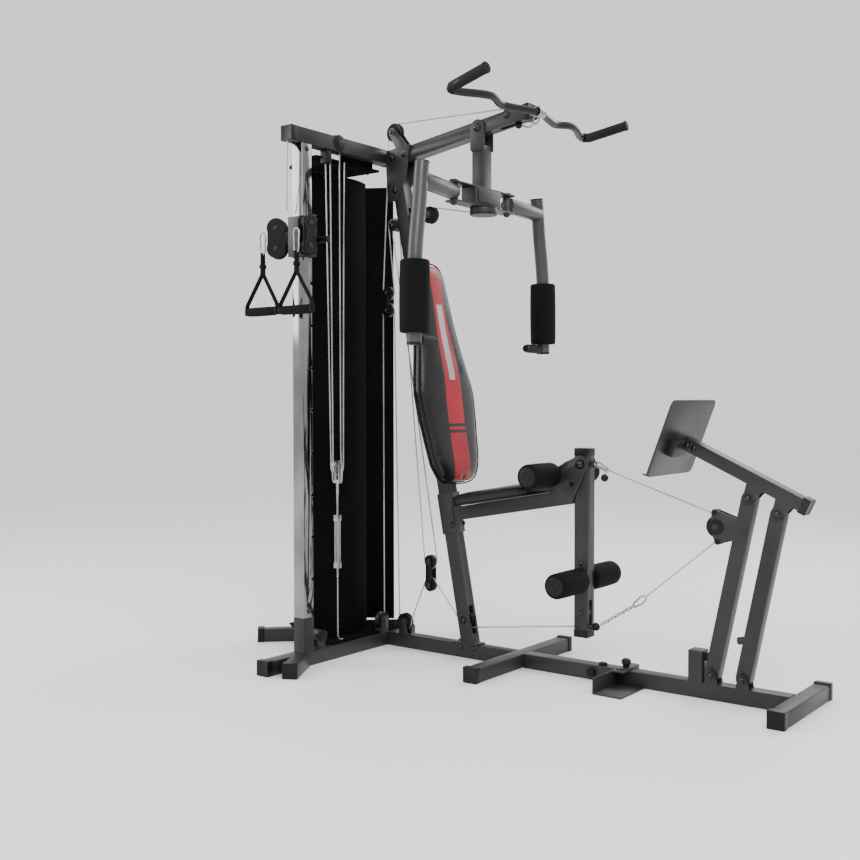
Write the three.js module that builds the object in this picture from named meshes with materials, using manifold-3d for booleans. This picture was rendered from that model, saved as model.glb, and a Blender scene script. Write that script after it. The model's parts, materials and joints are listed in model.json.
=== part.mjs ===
// Multi station home gym, in millimetres, +Z up.
// Origin: on the floor under the middle of the cross foot. +X runs forward to the leg press,
// +Y runs to the left of someone who sits on the seat and looks forward.
import * as THREE from 'three';
import { mergeVertices } from 'three/addons/utils/BufferGeometryUtils.js';
import Module from 'manifold-3d';

const wasm = await Module();
wasm.setup();

// ---- driving dimensions ----
const tube = 50;            // side of the square frame tube
const half = tube / 2;
const gap = 0.3;            // clearance between pieces that touch
const plate = 5;            // bracket plate thickness
const boltRadius = 5.8;
const boreRadius = 6.5;
const cableRadius = 2.5;
const lean = 0.188;         // how far the upright leans back per unit of height
const armSlope = 0.145;     // rise of the overhead arm per unit of length
const sideX = -620;         // centre plane of the side rail, chrome post and top beam
const postY = -461;         // centre of the chrome post
const postTop = 1847.7;
const beamTop = 1900;
const saddle = [-168, 1921.5];      // press frame hinge, X and Z
const armPin = [-171, 167];         // swing arm pins, X and distance from the middle
const leverPivot = [256, 728];
const leverX = 257;
const frontFoot = [724, 79];        // leg press: link pins on the rail and under the arm
const frontHead = [841, 643];
const rearFoot = [826, 79];
const rearHead = [932, 600];
const stack = { x: -800, y: -150, half: [55, 115], rodY: 75, rodRadius: 9.5 };
const plateCount = 16;
const plateHeight = 25;
const lifted = 5;           // plates above the selector pin
const stackBase = 60;

const uprightX = (z) => -219.6 - lean * (z - 64);
const armZ = (x) => 1880 + armSlope * (x + 454);

// ---- solids ----
function solid(geometry) {
  const source = geometry.clone();
  source.deleteAttribute('normal');
  source.deleteAttribute('uv');
  const merged = mergeVertices(source, 1e-3);
  const place = merged.attributes.position;
  const corners = [];
  let volume = 0;
  const a = new THREE.Vector3();
  const b = new THREE.Vector3();
  const c = new THREE.Vector3();
  for (let i = 0; i < merged.index.count; i += 3) {
    const [p, q, r] = [0, 1, 2].map((k) => merged.index.getX(i + k));
    if (p === q || q === r || p === r) continue;
    corners.push(p, q, r);
    volume += a.fromBufferAttribute(place, p).dot(
      b.fromBufferAttribute(place, q).cross(c.fromBufferAttribute(place, r)));
  }
  if (volume < 0) corners.reverse();
  return new wasm.Manifold(new wasm.Mesh({
    numProp: 3,
    vertProperties: new Float32Array(place.array),
    triVerts: new Uint32Array(corners),
  }));
}

const join = (...pieces) => pieces.flat().reduce((whole, piece) => whole.add(piece));

function box(x0, x1, y0, y1, z0, z1) {
  const geometry = new THREE.BoxGeometry(x1 - x0, y1 - y0, z1 - z0);
  geometry.translate((x0 + x1) / 2, (y0 + y1) / 2, (z0 + z1) / 2);
  return solid(geometry);
}

// A straight piece from one point to another: wide across, deep at right angles to that.
function bar(from, to, width, depth, across = [0, 1, 0]) {
  const start = new THREE.Vector3(...from);
  const along = new THREE.Vector3(...to).sub(start);
  const geometry = new THREE.BoxGeometry(width, depth, along.length());
  geometry.translate(0, 0, along.length() / 2);
  const side = new THREE.Vector3(...across);
  const forward = along.normalize();
  side.addScaledVector(forward, -side.dot(forward)).normalize();
  const up = forward.clone().cross(side);
  geometry.applyMatrix4(new THREE.Matrix4().makeBasis(side, up, forward).setPosition(start));
  return solid(geometry);
}

function rod(from, to, radius, sides = 10) {
  const start = new THREE.Vector3(...from);
  const along = new THREE.Vector3(...to).sub(start);
  const geometry = new THREE.CylinderGeometry(radius, radius, along.length(), sides);
  geometry.translate(0, along.length() / 2, 0);
  const turn = new THREE.Quaternion().setFromUnitVectors(new THREE.Vector3(0, 1, 0), along.normalize());
  geometry.applyQuaternion(turn);
  geometry.translate(start.x, start.y, start.z);
  return solid(geometry);
}

// A flat plate from an outline: 'y' outlines are in X and Z, 'x' in Y and Z, 'z' in X and Y.
function flat(shape, low, high, normal) {
  const depth = high - low;
  const geometry = new THREE.ExtrudeGeometry(shape, { depth, bevelEnabled: false, curveSegments: 3 });
  const turns = {
    x: [[0, 1, 0], [0, 0, 1], [1, 0, 0], low],
    y: [[1, 0, 0], [0, 0, 1], [0, -1, 0], high],
    z: [[1, 0, 0], [0, 1, 0], [0, 0, 1], low],
  };
  const [u, v, w, start] = turns[normal];
  const columns = [u, v, w].map((column) => new THREE.Vector3(...column));
  const basis = new THREE.Matrix4().makeBasis(...columns);
  geometry.applyMatrix4(basis);
  const axis = new THREE.Vector3(Math.abs(w[0]), Math.abs(w[1]), Math.abs(w[2])).multiplyScalar(start);
  geometry.translate(axis.x, axis.y, axis.z);
  return solid(geometry);
}

const outline = (points) => new THREE.Shape(points.map(([u, v]) => new THREE.Vector2(u, v)));

// The outline that wraps tightly round a row of circles [u, v, radius].
function wrapped(circles, steps = 6) {
  const points = circles.flatMap(([u, v, r]) => Array.from({ length: steps * 2 }, (_, i) => {
    const turn = (i * Math.PI) / steps;
    return [u + r * Math.cos(turn), v + r * Math.sin(turn)];
  }));
  points.sort((p, q) => p[0] - q[0] || p[1] - q[1]);
  const cross = (o, p, q) => (p[0] - o[0]) * (q[1] - o[1]) - (p[1] - o[1]) * (q[0] - o[0]);
  const chain = (list) => {
    const kept = [];
    for (const point of list) {
      while (kept.length > 1 && cross(kept.at(-2), kept.at(-1), point) < 1e-6) kept.pop();
      kept.push(point);
    }
    kept.pop();
    return kept;
  };
  return outline([...chain(points), ...chain([...points].reverse())]);
}

function rounded(width, height, radius, u = 0, v = 0) {
  const shape = new THREE.Shape();
  const [w, h] = [width / 2 - radius, height / 2 - radius];
  shape.absarc(u + w, v + h, radius, 0, Math.PI / 2);
  shape.absarc(u - w, v + h, radius, Math.PI / 2, Math.PI);
  shape.absarc(u - w, v - h, radius, Math.PI, 1.5 * Math.PI);
  shape.absarc(u + w, v - h, radius, 1.5 * Math.PI, 2 * Math.PI);
  return shape;
}

// A route through points, straight between neighbours, so that a swept tube passes every point.
class Route extends THREE.Curve {
  constructor(points) {
    super();
    this.points = points.map((point) => new THREE.Vector3(...point));
  }

  getPointAt(u, target = new THREE.Vector3()) {
    return target.copy(this.points[Math.round(u * (this.points.length - 1))]);
  }

  getPoint(t, target) {
    return this.getPointAt(t, target);
  }

  getTangentAt(u, target = new THREE.Vector3()) {
    const last = this.points.length - 1;
    const here = Math.round(u * last);
    const back = this.points[Math.max(here - 1, 0)];
    return target.copy(this.points[Math.min(here + 1, last)]).sub(back).normalize();
  }

  getTangent(t, target) {
    return this.getTangentAt(t, target);
  }
}

function sweep(points, radius, sides = 8) {
  const section = new THREE.Shape();
  for (let i = 0; i < sides; i += 1) {
    const turn = (i * 2 * Math.PI) / sides;
    const point = [radius * Math.cos(turn), radius * Math.sin(turn)];
    if (i === 0) section.moveTo(...point);
    else section.lineTo(...point);
  }
  return solid(new THREE.ExtrudeGeometry(section, {
    steps: points.length - 1, bevelEnabled: false, extrudePath: new Route(points),
  }));
}

// Points round part of a circle in a plane through its centre, angles in degrees.
function arc(centre, radius, from, to, steps, u = [1, 0, 0], v = [0, 0, 1]) {
  return Array.from({ length: steps + 1 }, (_, i) => {
    const turn = THREE.MathUtils.degToRad(from + ((to - from) * i) / steps);
    return centre.map((c, k) => c + radius * (u[k] * Math.cos(turn) + v[k] * Math.sin(turn)));
  });
}

function ring(profile, segments = 14) {
  const points = [...profile, profile[0]].map(([r, h]) => new THREE.Vector2(r, h));
  return new THREE.LatheGeometry(points, segments);
}

// Two cheek plates on either side of the middle plane, from one outline in X and Z.
const cheeks = (shape, inner, thickness = plate) => [
  flat(shape, inner, inner + thickness, 'y'),
  flat(shape, -inner - thickness, -inner, 'y'),
];
const boltY = (x, z, reach, radius = boltRadius, y = 0) => rod([x, y - reach, z], [x, y + reach, z], radius);

// ---- the scene ----
const gym = new THREE.Group();
gym.name = 'multi_station_gym';

const finishes = {
  frame: [0x3c3e41, 0.45, 0.5],
  black: [0x121212, 0.6, 0],
  chrome: [0xc8ccd0, 0.12, 1],
  steel: [0x9a9da0, 0.35, 0.9],
  foam: [0x1a1a1b, 0.95, 0],
  leather: [0x18181a, 0.55, 0],
  sheet: [0x1c1d1f, 0.7, 0.2],
  iron: [0x2a2b2d, 0.7, 0.6],
  strap: [0x1b1b1c, 0.9, 0],
};

function part(name, shape, finish, position = [0, 0, 0]) {
  const result = shape.getMesh();
  const geometry = new THREE.BufferGeometry();
  const vertices = new Float32Array(result.numVert * 3);
  for (let i = 0; i < result.numVert; i += 1) {
    for (let k = 0; k < 3; k += 1) vertices[3 * i + k] = result.vertProperties[result.numProp * i + k];
  }
  geometry.setAttribute('position', new THREE.BufferAttribute(vertices, 3));
  geometry.setIndex(new THREE.BufferAttribute(new Uint32Array(result.triVerts), 1));
  geometry.computeVertexNormals();
  const [color, roughness, metalness] = finishes[finish];
  const mesh = new THREE.Mesh(geometry, new THREE.MeshStandardMaterial({ color, roughness, metalness }));
  mesh.name = name;
  mesh.position.set(...position);
  gym.add(mesh);
}

// ---- base frame ----
function baseFrame() {
  const rearEnd = sideX + half + gap;
  part('rear_rail', join(
    box(rearEnd, -half - gap, -half, half, 0, tube),
    cheeks(wrapped([[-524, 95, 15], [-540, 50, 4], [-508, 50, 4]]), 13, 4),
    boltY(-524, 95, 21),
  ), 'frame');
  const lugs = [frontFoot, rearFoot].map(([x, z]) => join(
    cheeks(wrapped([[x, z, 16], [x - 18, 48, 3], [x + 18, 48, 3]]), 20, plate),
    boltY(x, z, 29, 6),
  ));
  part('front_rail', join(
    box(half + gap, 1002 - half - gap, -half, half, 0, tube),
    lugs,
    box(648, 695, -half, half, 45, 150),
    rod([690, 0, 130], [708.2, 0, 130], 12),
  ), 'frame');
  part('cross_foot', box(-half, half, -314, 314, 0, tube), 'frame');
  part('end_foot', box(1002 - half, 1002 + half, -213, 213, 0, tube), 'frame');
  part('side_rail', join(
    box(sideX - half, sideX + half, -665, 150, 0, tube),
    bar([-611, -475, half], [-517, -638, half], tube, tube, [0, 0, 1]),
    box(sideX - half, sideX + half, postY - half, postY + half, 45, 171),
    box(sideX - 18, sideX + 24, -55, -17, 45, 56),
    box(-630, -626, -55, -17, 55, 112),
    box(-600, -596, -55, -17, 55, 112),
    rod([-632, -36, 95], [-594, -36, 95], boltRadius),
    box(-640, -600, -403, -367, 45, 54),
    box(-636, -632, -403, -367, 52, 112),
    box(-608, -604, -403, -367, 52, 112),
    rod([-638, -385, 95], [-602, -385, 95], 22),
  ), 'frame');
  const diagonal = Math.SQRT1_2;
  const footStart = [-650, 108];
  const footLength = 550;
  part('rear_foot', bar(
    [footStart[0] - 25, footStart[1] - 25, half],
    [footStart[0] - footLength * diagonal, footStart[1] - footLength * diagonal, half],
    tube, tube, [0, 0, 1],
  ), 'frame');
}

// ---- chrome post, top beam, overhead arm, upright ----
function tower() {
  let post = box(sideX - half, sideX + half, postY - half, postY + half, 171 + gap, postTop);
  for (let z = 1508; z > 300; z -= 150) {
    post = post.subtract(rod([sideX + half - 14, postY + 21, z], [sideX + half + 1, postY + 21, z], 6, 8));
  }
  part('chrome_post', post, 'chrome');
  const beam = box(sideX - half, sideX + half, -536, 27, 1848, beamTop)
    .subtract(box(sideX + 2, sideX + 23, -7, 7, 1840, 1910))
    .subtract(box(sideX - 13, sideX + 13, -332, -250, 1840, 1910))
    .subtract(box(sideX - 13, sideX + 13, -545, -490, 1840, 1888));
  part('top_beam', join(beam,
    rod([sideX - 22, -291, 1876], [sideX + 22, -291, 1876], boltRadius),
    rod([sideX - 22, -512, 1866], [sideX + 22, -512, 1866], 17),
    rod([sideX - 10, -338, 1852], [sideX + 10, -338, 1838], 9),
  ), 'frame');
  const tip = [45, 0, armZ(45)];
  const overhead = bar([-594.7, 0, armZ(-594.7)], tip, 49.4, tube)
    .subtract(box(-84, 2, -12.5, 12.5, 1880, 2000))
    .subtract(boltY(...saddle, 40, boreRadius + 0.4))
    .subtract(box(-640, -594.7, -30, 30, 1800, 1950));
  part('lat_arm', join(overhead,
    boltY(-44, 1948, 20),
    cheeks(wrapped([[-569, 1965, 17], [-535, 1890, 10], [-505, 1895, 10]]), 15, plate),
    boltY(-569, 1965, 22),
  ), 'frame');
  const topCut = armZ(-553) - half * Math.hypot(1, armSlope) - gap;
  let upright = bar([uprightX(40), 0, 40], [uprightX(1900), 0, 1900], tube, tube)
    .subtract(box(-400, 0, -40, 40, 0, tube + gap))
    .subtract(bar([-700, 0, armZ(-700)], [-300, 0, armZ(-300)], 60, tube + 2 * gap))
    .subtract(box(-700, -300, -40, 40, topCut + 15, 2200))
    .subtract(box(-330, -150, -13, 13, 88, 190))
    .subtract(box(-620, -420, -13.5, 13.5, 1622, 1672));
  const gusset = [[-592, 1838], [-590, 1893], [-475, 1907], [-498, 1790], [-536, 1700], [-582, 1700]];
  upright = join(upright,
    box(-280, -170, -half, half, tube + gap, 56),
    boltY(-233, 138, 20),
    cheeks(outline(gusset), half, plate),
    cheeks(wrapped([[-400, 1636, 12], [-500, 1630, 12]]), 14, 4),
    boltY(-400, 1636, 18),
    cheeks(wrapped([[-570, 1612, 12], [-530, 1612, 16]]), 18, 4),
    boltY(-570, 1612, 21),
    rod([-570, -16, 1612], [-570, -3, 1612], 22),
    rod([-570, 3, 1612], [-570, 16, 1612], 22),
  );
  part('upright_post', upright, 'frame');
}

// ---- weight tower ----
function sheetPlan(points, thickness) {
  const curve = new THREE.CatmullRomCurve3(points.map(([x, y]) => new THREE.Vector3(x, y, 0)));
  const line = curve.getPoints(8);
  const sides = [1, -1].map((sign) => line.map((point, i) => {
    const ahead = line[Math.min(i + 1, line.length - 1)];
    const behind = line[Math.max(i - 1, 0)];
    const along = ahead.clone().sub(behind).normalize();
    return [point.x - (sign * along.y * thickness) / 2, point.y + (sign * along.x * thickness) / 2];
  }));
  return outline([...sides[0], ...sides[1].reverse()]);
}

function weightTower() {
  const shroudThickness = 3;
  const shroudLow = 57;
  const frontPlan = [[-711, -320], [-682, -245], [-668, -165], [-674, -95], [-694, -32]];
  const rearPlan = [[-715, 165], [-800, 115], [-878, 52], [-940, -25], [-985, -110]];
  part('front_shroud', flat(sheetPlan(frontPlan, shroudThickness), shroudLow, 1781, 'z'), 'sheet');
  part('rear_shroud', flat(sheetPlan(rearPlan, shroudThickness), shroudLow, 1800, 'z'), 'sheet');
  const upright = (side, low, high, radius) => {
    const y = stack.y + side * stack.rodY;
    return rod([stack.x, y, low], [stack.x, y, high], radius);
  };
  const rods = [-1, 1].map((side) => upright(side, 53, 1830, stack.rodRadius));
  const hoopZ = 1824;
  const hoopPlan = [[-690, -352], [-664, -260], [-650, -165], [-664, -80], [-700, -10]];
  const hoop = sweep(hoopPlan.map(([x, y]) => [x, y, hoopZ]), 5);
  const trayPlan = [[-600, -330], [-600, 120], [-700, 170], [-1000, -110], [-1000, -150], [-720, -330]];
  const topPlan = [[-633, -370], [-633, -20], [-860, -20], [-860, -280], [-720, -370]];
  part('guide_frame', join(
    flat(outline(trayPlan), tube + gap, 55, 'z').subtract(box(-660, -590, -60, -12, 40, 60)),
    rods,
    flat(outline(topPlan), 1820, 1828, 'z'),
    box(-644, -633, -240, -60, 1827, postTop),
    hoop,
  ), 'black');

  const block = (inset, low, high) => {
    const [x, y] = stack.half.map((size) => size - inset);
    return box(stack.x - x, stack.x + x, stack.y - y, stack.y + y, low, high);
  };
  const layer = (low, count) => {
    const pieces = [];
    for (let i = 0; i < count; i += 1) {
      const z = low + i * plateHeight;
      pieces.push(block(0, z + 1, z + plateHeight));
      pieces.push(block(3, z, z + 2));
    }
    const bores = [-1, 1].map((side) => upright(side, 0, 2000, stack.rodRadius + 1.5));
    return bores.reduce((whole, bore) => whole.subtract(bore), join(pieces));
  };
  const lowerCount = plateCount - lifted;
  const split = stackBase + lowerCount * plateHeight;
  const top = stackBase + plateCount * plateHeight;
  const cushion = box(stack.x - 40, stack.x + 40, stack.y - 60, stack.y + 60, 55 + gap, 62);
  part('lower_stack', join(layer(stackBase, lowerCount), cushion), 'iron');
  const pinHole = rod([stack.x, stack.y, split + 12], [stack.x + 80, stack.y, split + 12], 5.5, 12);
  const head = join(layer(split + gap, lifted),
    box(stack.x - 50, stack.x + 50, stack.y - 50, stack.y + 50, top - 1, top + 26),
    rod([stack.x, stack.y, top], [stack.x, stack.y, top + 60], 11));
  part('upper_stack', head.subtract(pinHole), 'iron');
  part('selector_pin', join(
    rod([stack.x + 2, stack.y, split + 12], [stack.x + 60, stack.y, split + 12], 4.6, 12),
    rod([stack.x + 57, stack.y, split + 12], [stack.x + 70, stack.y, split + 12], 14, 12),
  ), 'chrome');
}

// ---- seat, back pad ----
function seating() {
  const seatStart = [-219, 0, 536];
  const seatEnd = [222, 0, 616];
  const sleeveZ = [452, 600];
  const wide = tube + 10;
  const along = (low, high, width) => bar([uprightX(low), 0, low], [uprightX(high), 0, high], width, width);
  const sleeve = along(...sleeveZ, wide);
  const hole = along(400, 680, tube + 2 * gap);
  const nose = wrapped([[256, 728, 30], [161, 690, 20], [150, 625, 14], [214, 606, 14]]);
  nose.holes.push(new THREE.Path().absarc(222, 660, 10, 0, 2 * Math.PI, true));
  const beam = join(sleeve, bar([-290, 0, 523], seatEnd, tube, tube)).subtract(hole);
  part('seat_beam', join(beam,
    cheeks(nose, half - 0.1, plate),
    boltY(...leverPivot, 31, 7),
  ).subtract(boltY(161, 690, 60, 9)), 'frame');
  const seatShape = rounded(327, 260, 40, -68.5, 0);
  const flatSides = { bevelEnabled: false, curveSegments: 4 };
  const seatGeometry = new THREE.ExtrudeGeometry(seatShape, { depth: 43, ...flatSides });
  const pitch = Math.atan2(seatEnd[2] - seatStart[2], seatEnd[0] - seatStart[0]);
  seatGeometry.rotateY(-pitch);
  seatGeometry.translate(0, 0, 602.4);
  part('seat_pad', solid(seatGeometry).subtract(hole), 'leather');

  // The back pad is drawn along the upright: [distance up it, half width].
  const sides = [[0, 70], [22, 104], [70, 131], [170, 148], [265, 162], [335, 167], [400, 152],
    [500, 125], [600, 106], [720, 91], [790, 80], [822, 50]];
  const backShape = outline([...sides.map(([v, u]) => [u, v]), ...sides.map(([v, u]) => [-u, v]).reverse()]);
  const backGeometry = new THREE.ExtrudeGeometry(backShape, { depth: 62, bevelEnabled: false });
  const up = new THREE.Vector3(-lean, 0, 1).normalize();
  const out = new THREE.Vector3(1, 0, lean).normalize();
  const across = new THREE.Vector3(0, 1, 0);
  const start = new THREE.Vector3(uprightX(632), 0, 632).addScaledVector(out, half + 4);
  backGeometry.applyMatrix4(new THREE.Matrix4().makeBasis(across, up, out).setPosition(start));
  part('back_pad', solid(backGeometry), 'leather');
}

// ---- pulleys ----
function pulley(name, position, radius, axis = 'y', width = 11) {
  const geometry = ring([[boreRadius, -width], [radius, -width], [radius, -width + 3], [radius - 7, 0],
    [radius, width - 3], [radius, width], [boreRadius, width]]);
  if (axis === 'x') geometry.rotateZ(Math.PI / 2);
  part(name, solid(geometry), 'black', position);
}

function pulleys() {
  pulley('tower_pulley', [sideX, -291, 1876], 33, 'x');
  pulley('lat_rear_pulley', [-569, 0, 1965], 35);
  pulley('lat_tip_pulley', [-44, 0, 1948], 32);
  pulley('press_pulley', [-400, 0, 1636], 32);
  pulley('rail_pulley', [-524, 0, 95], 32);
  pulley('side_pulley', [-613, -36, 95], 32, 'x');
  pulley('upright_pulley', [-233, 0, 138], 33);
  pulley('link_pulley', [735, 0, 547], 35);
}

// ---- carriage with its pulley blocks and strap handles ----
const rearPin = [-680, -461];
const frontPin = [-558, -468];
const rearAim = THREE.MathUtils.degToRad(212);

function figureEight(pin, aim, reach, radius, low, high, z) {
  const out = [Math.cos(aim), Math.sin(aim)];
  const at = (u, w, h) => [pin[0] + u * out[0] - w * out[1], pin[1] + u * out[1] + w * out[0], h];
  const basis = new THREE.Matrix4().makeBasis(
    new THREE.Vector3(out[0], out[1], 0), new THREE.Vector3(0, 0, 1),
    new THREE.Vector3(out[1], -out[0], 0)).setPosition(pin[0], pin[1], 0);
  const side = (w) => {
    const shape = wrapped([[reach, low, radius], [reach, high, radius]], 7);
    const geometry = new THREE.ExtrudeGeometry(shape, { depth: 4, bevelEnabled: false });
    geometry.translate(0, 0, w);
    geometry.applyMatrix4(basis);
    return solid(geometry);
  };
  const wheels = [low, high].flatMap((h) => [
    rod(at(reach, -10, h), at(reach, 10, h), radius - 6, 12),
    rod(at(reach, -20, h), at(reach, 20, h), 7, 8),
  ]);
  const neck = bar(at(9, 0, z[0]), at(9, 0, z[1]), 16, 30, [out[0], out[1], 0]);
  return { body: join(side(13), side(-17), wheels, neck, rod([...pin, z[0]], [...pin, z[1]], 10)), at };
}

function carriage() {
  const top = 1590;
  const bottom = 1450;
  const outer = 35;
  const inner = half + 0.4;
  const lug = (pin, z, towards) => join(
    rod([...pin, z], [...pin, z + plate], 10),
    bar([pin[0], pin[1], z + plate / 2], towards(z), 20, plate, [0, 1, 0]));
  const toRear = (z) => [sideX - outer + 1, rearPin[1], z + plate / 2];
  const toFront = (z) => [sideX + outer - 1, frontPin[1], z + plate / 2];
  const sleeve = box(sideX - outer, sideX + outer, postY - outer, postY + outer, bottom, top)
    .subtract(box(sideX - inner, sideX + inner, postY - inner, postY + inner, bottom - 1, top + 1));
  part('carriage', join(sleeve,
    lug(rearPin, 1490, toRear), lug(rearPin, 1545, toRear),
    rod([...rearPin, 1488], [...rearPin, 1552], boltRadius),
    lug(frontPin, 1452, toFront), lug(frontPin, 1583, toFront),
    rod([...frontPin, 1453], [...frontPin, 1587], boltRadius),
  ).subtract(rod([sideX + 20, postY + 21, 1508], [sideX + 40, postY + 21, 1508], 5.6, 12)), 'frame');
  part('pull_pin', join(
    rod([-594, postY + 21, 1508], [-560, postY + 21, 1508], 5, 12),
    rod([-584, postY + 21, 1508], [-572, postY + 21, 1508], 10, 12),
    rod([-562, postY + 21, 1508], [-512, postY + 21, 1508], 11, 12),
  ), 'black');
  const bore = (pin) => rod([...pin, 1400], [...pin, 1700], boreRadius);
  const rear = figureEight(rearPin, rearAim, 45, 33, 1484, 1557, [1495.5, 1544.5]);
  part('block_rear', rear.body.subtract(bore(rearPin)), 'black');
  const cheekShape = rounded(64, 118, 14, 0, 0);
  const frontCheek = (x) => {
    const options = { depth: 4, bevelEnabled: false, curveSegments: 4 };
    const geometry = new THREE.ExtrudeGeometry(cheekShape, options);
    const columns = [[0, 1, 0], [0, 0, 1], [1, 0, 0]].map((column) => new THREE.Vector3(...column));
    geometry.applyMatrix4(new THREE.Matrix4().makeBasis(...columns).setPosition(x, -500, 1520));
    return solid(geometry);
  };
  const wheels = [1559, 1481].flatMap((z) => [
    rod([frontPin[0] - 9, -503, z], [frontPin[0] + 9, -503, z], 25, 12),
    rod([frontPin[0] - 17, -503, z], [frontPin[0] + 17, -503, z], 7, 8),
  ]);
  part('block_front', join(frontCheek(frontPin[0] + 11), frontCheek(frontPin[0] - 15), wheels,
    rod([...frontPin, 1461], [...frontPin, 1579], 12),
  ).subtract(bore(frontPin)), 'black');

  const handle = (name, x, y, topZ, forkZ, gripX, gripZ) => {
    const strapHalf = 10;
    const reach = 72.5;
    const leg = (side) => {
      const foot = gripX + side * (reach + 2.5);
      return join(
        bar([x, y, forkZ + 8], [foot + side * 2, y, gripZ + 27], 16, 3, [1, 0, 0]),
        flat(wrapped([[y, gripZ, 12], [y, gripZ + 27, 9]]), foot - 2, foot + 2, 'x'));
    };
    part(`strap_${name}`, join(
      box(x - strapHalf, x + strapHalf, y - 1.5, y + 1.5, forkZ, topZ),
      leg(-1), leg(1),
    ), 'strap');
    part(`grip_${name}`, rod([gripX - reach, y, gripZ], [gripX + reach, y, gripZ], 15.5, 16), 'foam');
  };
  handle('rear', -761, -516, 1540, 1385, -766, 1262);
  handle('front', -568, -543, 1536, 1380, -570, 1258);
}

// ---- press frame and swing arms ----
function pressStation() {
  const [hingeX, hingeZ] = saddle;
  const sidePlate = wrapped([[hingeX, hingeZ, 30], [hingeX - 24, 1846, 6], [hingeX + 24, 1846, 6]]);
  const ears = (low, high) => flat(rounded(58, 2 * armPin[1] + 46, 16, armPin[0], 0), low, high, 'z');
  part('press_frame', join(
    cheeks(sidePlate, half + 0.6, plate),
    box(hingeX - half, hingeX + half, -half - 2, half + 2, 1838, 1858),
    box(hingeX - half, hingeX + half, -half, half, 1700, 1840),
    box(-200, -140, -80, 80, 1642, 1702),
    ears(1701.8, 1707), ears(1637, 1642.2),
    rod([-160, 0, 1612], [-160, 0, 1638], 50, 24),
    [-1, 1].map((side) => rod([armPin[0], side * armPin[1], 1638], [armPin[0], side * armPin[1], 1705], 7)),
    boltY(hingeX, hingeZ, 30, boreRadius),
  ), 'frame');
  for (const [name, side, turn] of [['left', -1, 11], ['right', 1, 5]]) {
    const aim = THREE.MathUtils.degToRad(side < 0 ? -90 + turn : 90 + turn);
    const pin = [armPin[0], side * armPin[1]];
    const at = (r, z) => [pin[0] + r * Math.cos(aim), pin[1] + r * Math.sin(aim), z];
    const down = [[246, 1729], [252, 1700], [258, 1660], [270, 1580], [286, 1500], [296, 1440],
      [300, 1403], [305, 1131]].map(([r, z]) => at(r, z));
    const hub = rod([...pin, 1643], [...pin, 1701], 15);
    const bore = rod([...pin, 1600], [...pin, 1750], 7.7);
    const inward = [pin[1], pin[1] - side * 60];
    const behind = box(pin[0] - 200, pin[0] + 200, Math.min(...inward), Math.max(...inward), 1600, 1750)
      .subtract(rod([...pin, 1600], [...pin, 1750], 15));
    part(`arm_${name}`, join(
      rod(at(0, 1672), at(252, 1672), 28.6, 16).subtract(behind),
      hub,
      sweep(down, 25, 14),
      rod(at(303, 1144), at(160, 1144), 12.5, 12),
    ).subtract(bore), 'frame');
    const foamBore = sweep([at(300 - 0.4, 1420), at(305 + 0.3, 1150)], 26.3, 14);
    part(`foam_${name}`, sweep([at(300.1, 1403), at(304.4, 1165)], 49, 18).subtract(foamBore), 'foam');
  }
}

// ---- lat bar ----
function latBar() {
  const halfSpan = [[78, 0, 1943], [72, 22, 1943], [38, 150, 1940], [33, 172, 1941], [52, 255, 1948],
    [48, 290, 1947], [9, 405, 1941], [8, 430, 1941], [24, 442, 1944], [166, 463, 1972]];
  const mirrored = halfSpan.slice(1).map(([x, y, z]) => [x, -y, z]).reverse();
  part('lat_bar', join(
    sweep([...mirrored, ...halfSpan], 13.5, 12),
    rod([75, -20, 1943], [75, 20, 1943], 19, 14),
    [-1, 1].map((side) => sweep([[12, 424, 1942], [24, 442, 1944], [168, 464, 1972.4]]
      .map(([x, y, z]) => [x, y * side, z]), 17.5, 12)),
    bar([70, 0, 1932], [50, 0, 1905], 14, 6),
  ), 'frame');
}

// ---- leg lever and rollers ----
function legStation() {
  const rollers = (name, x, z, inner, outer, radius) => part(name, join(
    rod([x, -outer, z], [x, -inner, z], radius, 20),
    rod([x, inner, z], [x, outer, z], radius, 20),
    rod([x, -outer + 2, z], [x, outer - 2, z], 8.4, 12),
  ), 'foam');
  const lever = box(leverX - half, leverX + half, -24.5, 24.5, 140, 779)
    .subtract(boltY(...leverPivot, 40, 7.6))
    .subtract(boltY(leverX, 333, 40, 9.4, 0))
    .subtract(box(200, 320, -11, 11, 165, 265));
  part('leg_lever', join(lever,
    boltY(leverX, 222, 20, 22),
    boltY(leverX, 390, 28, 5),
    box(280, 296, -3, 3, 716, 738),
  ), 'frame');
  rollers('shin_rollers', leverX, 333, 30, 195, 42);
  rollers('thigh_rollers', 161, 690, 58, 212, 42);
}

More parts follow.
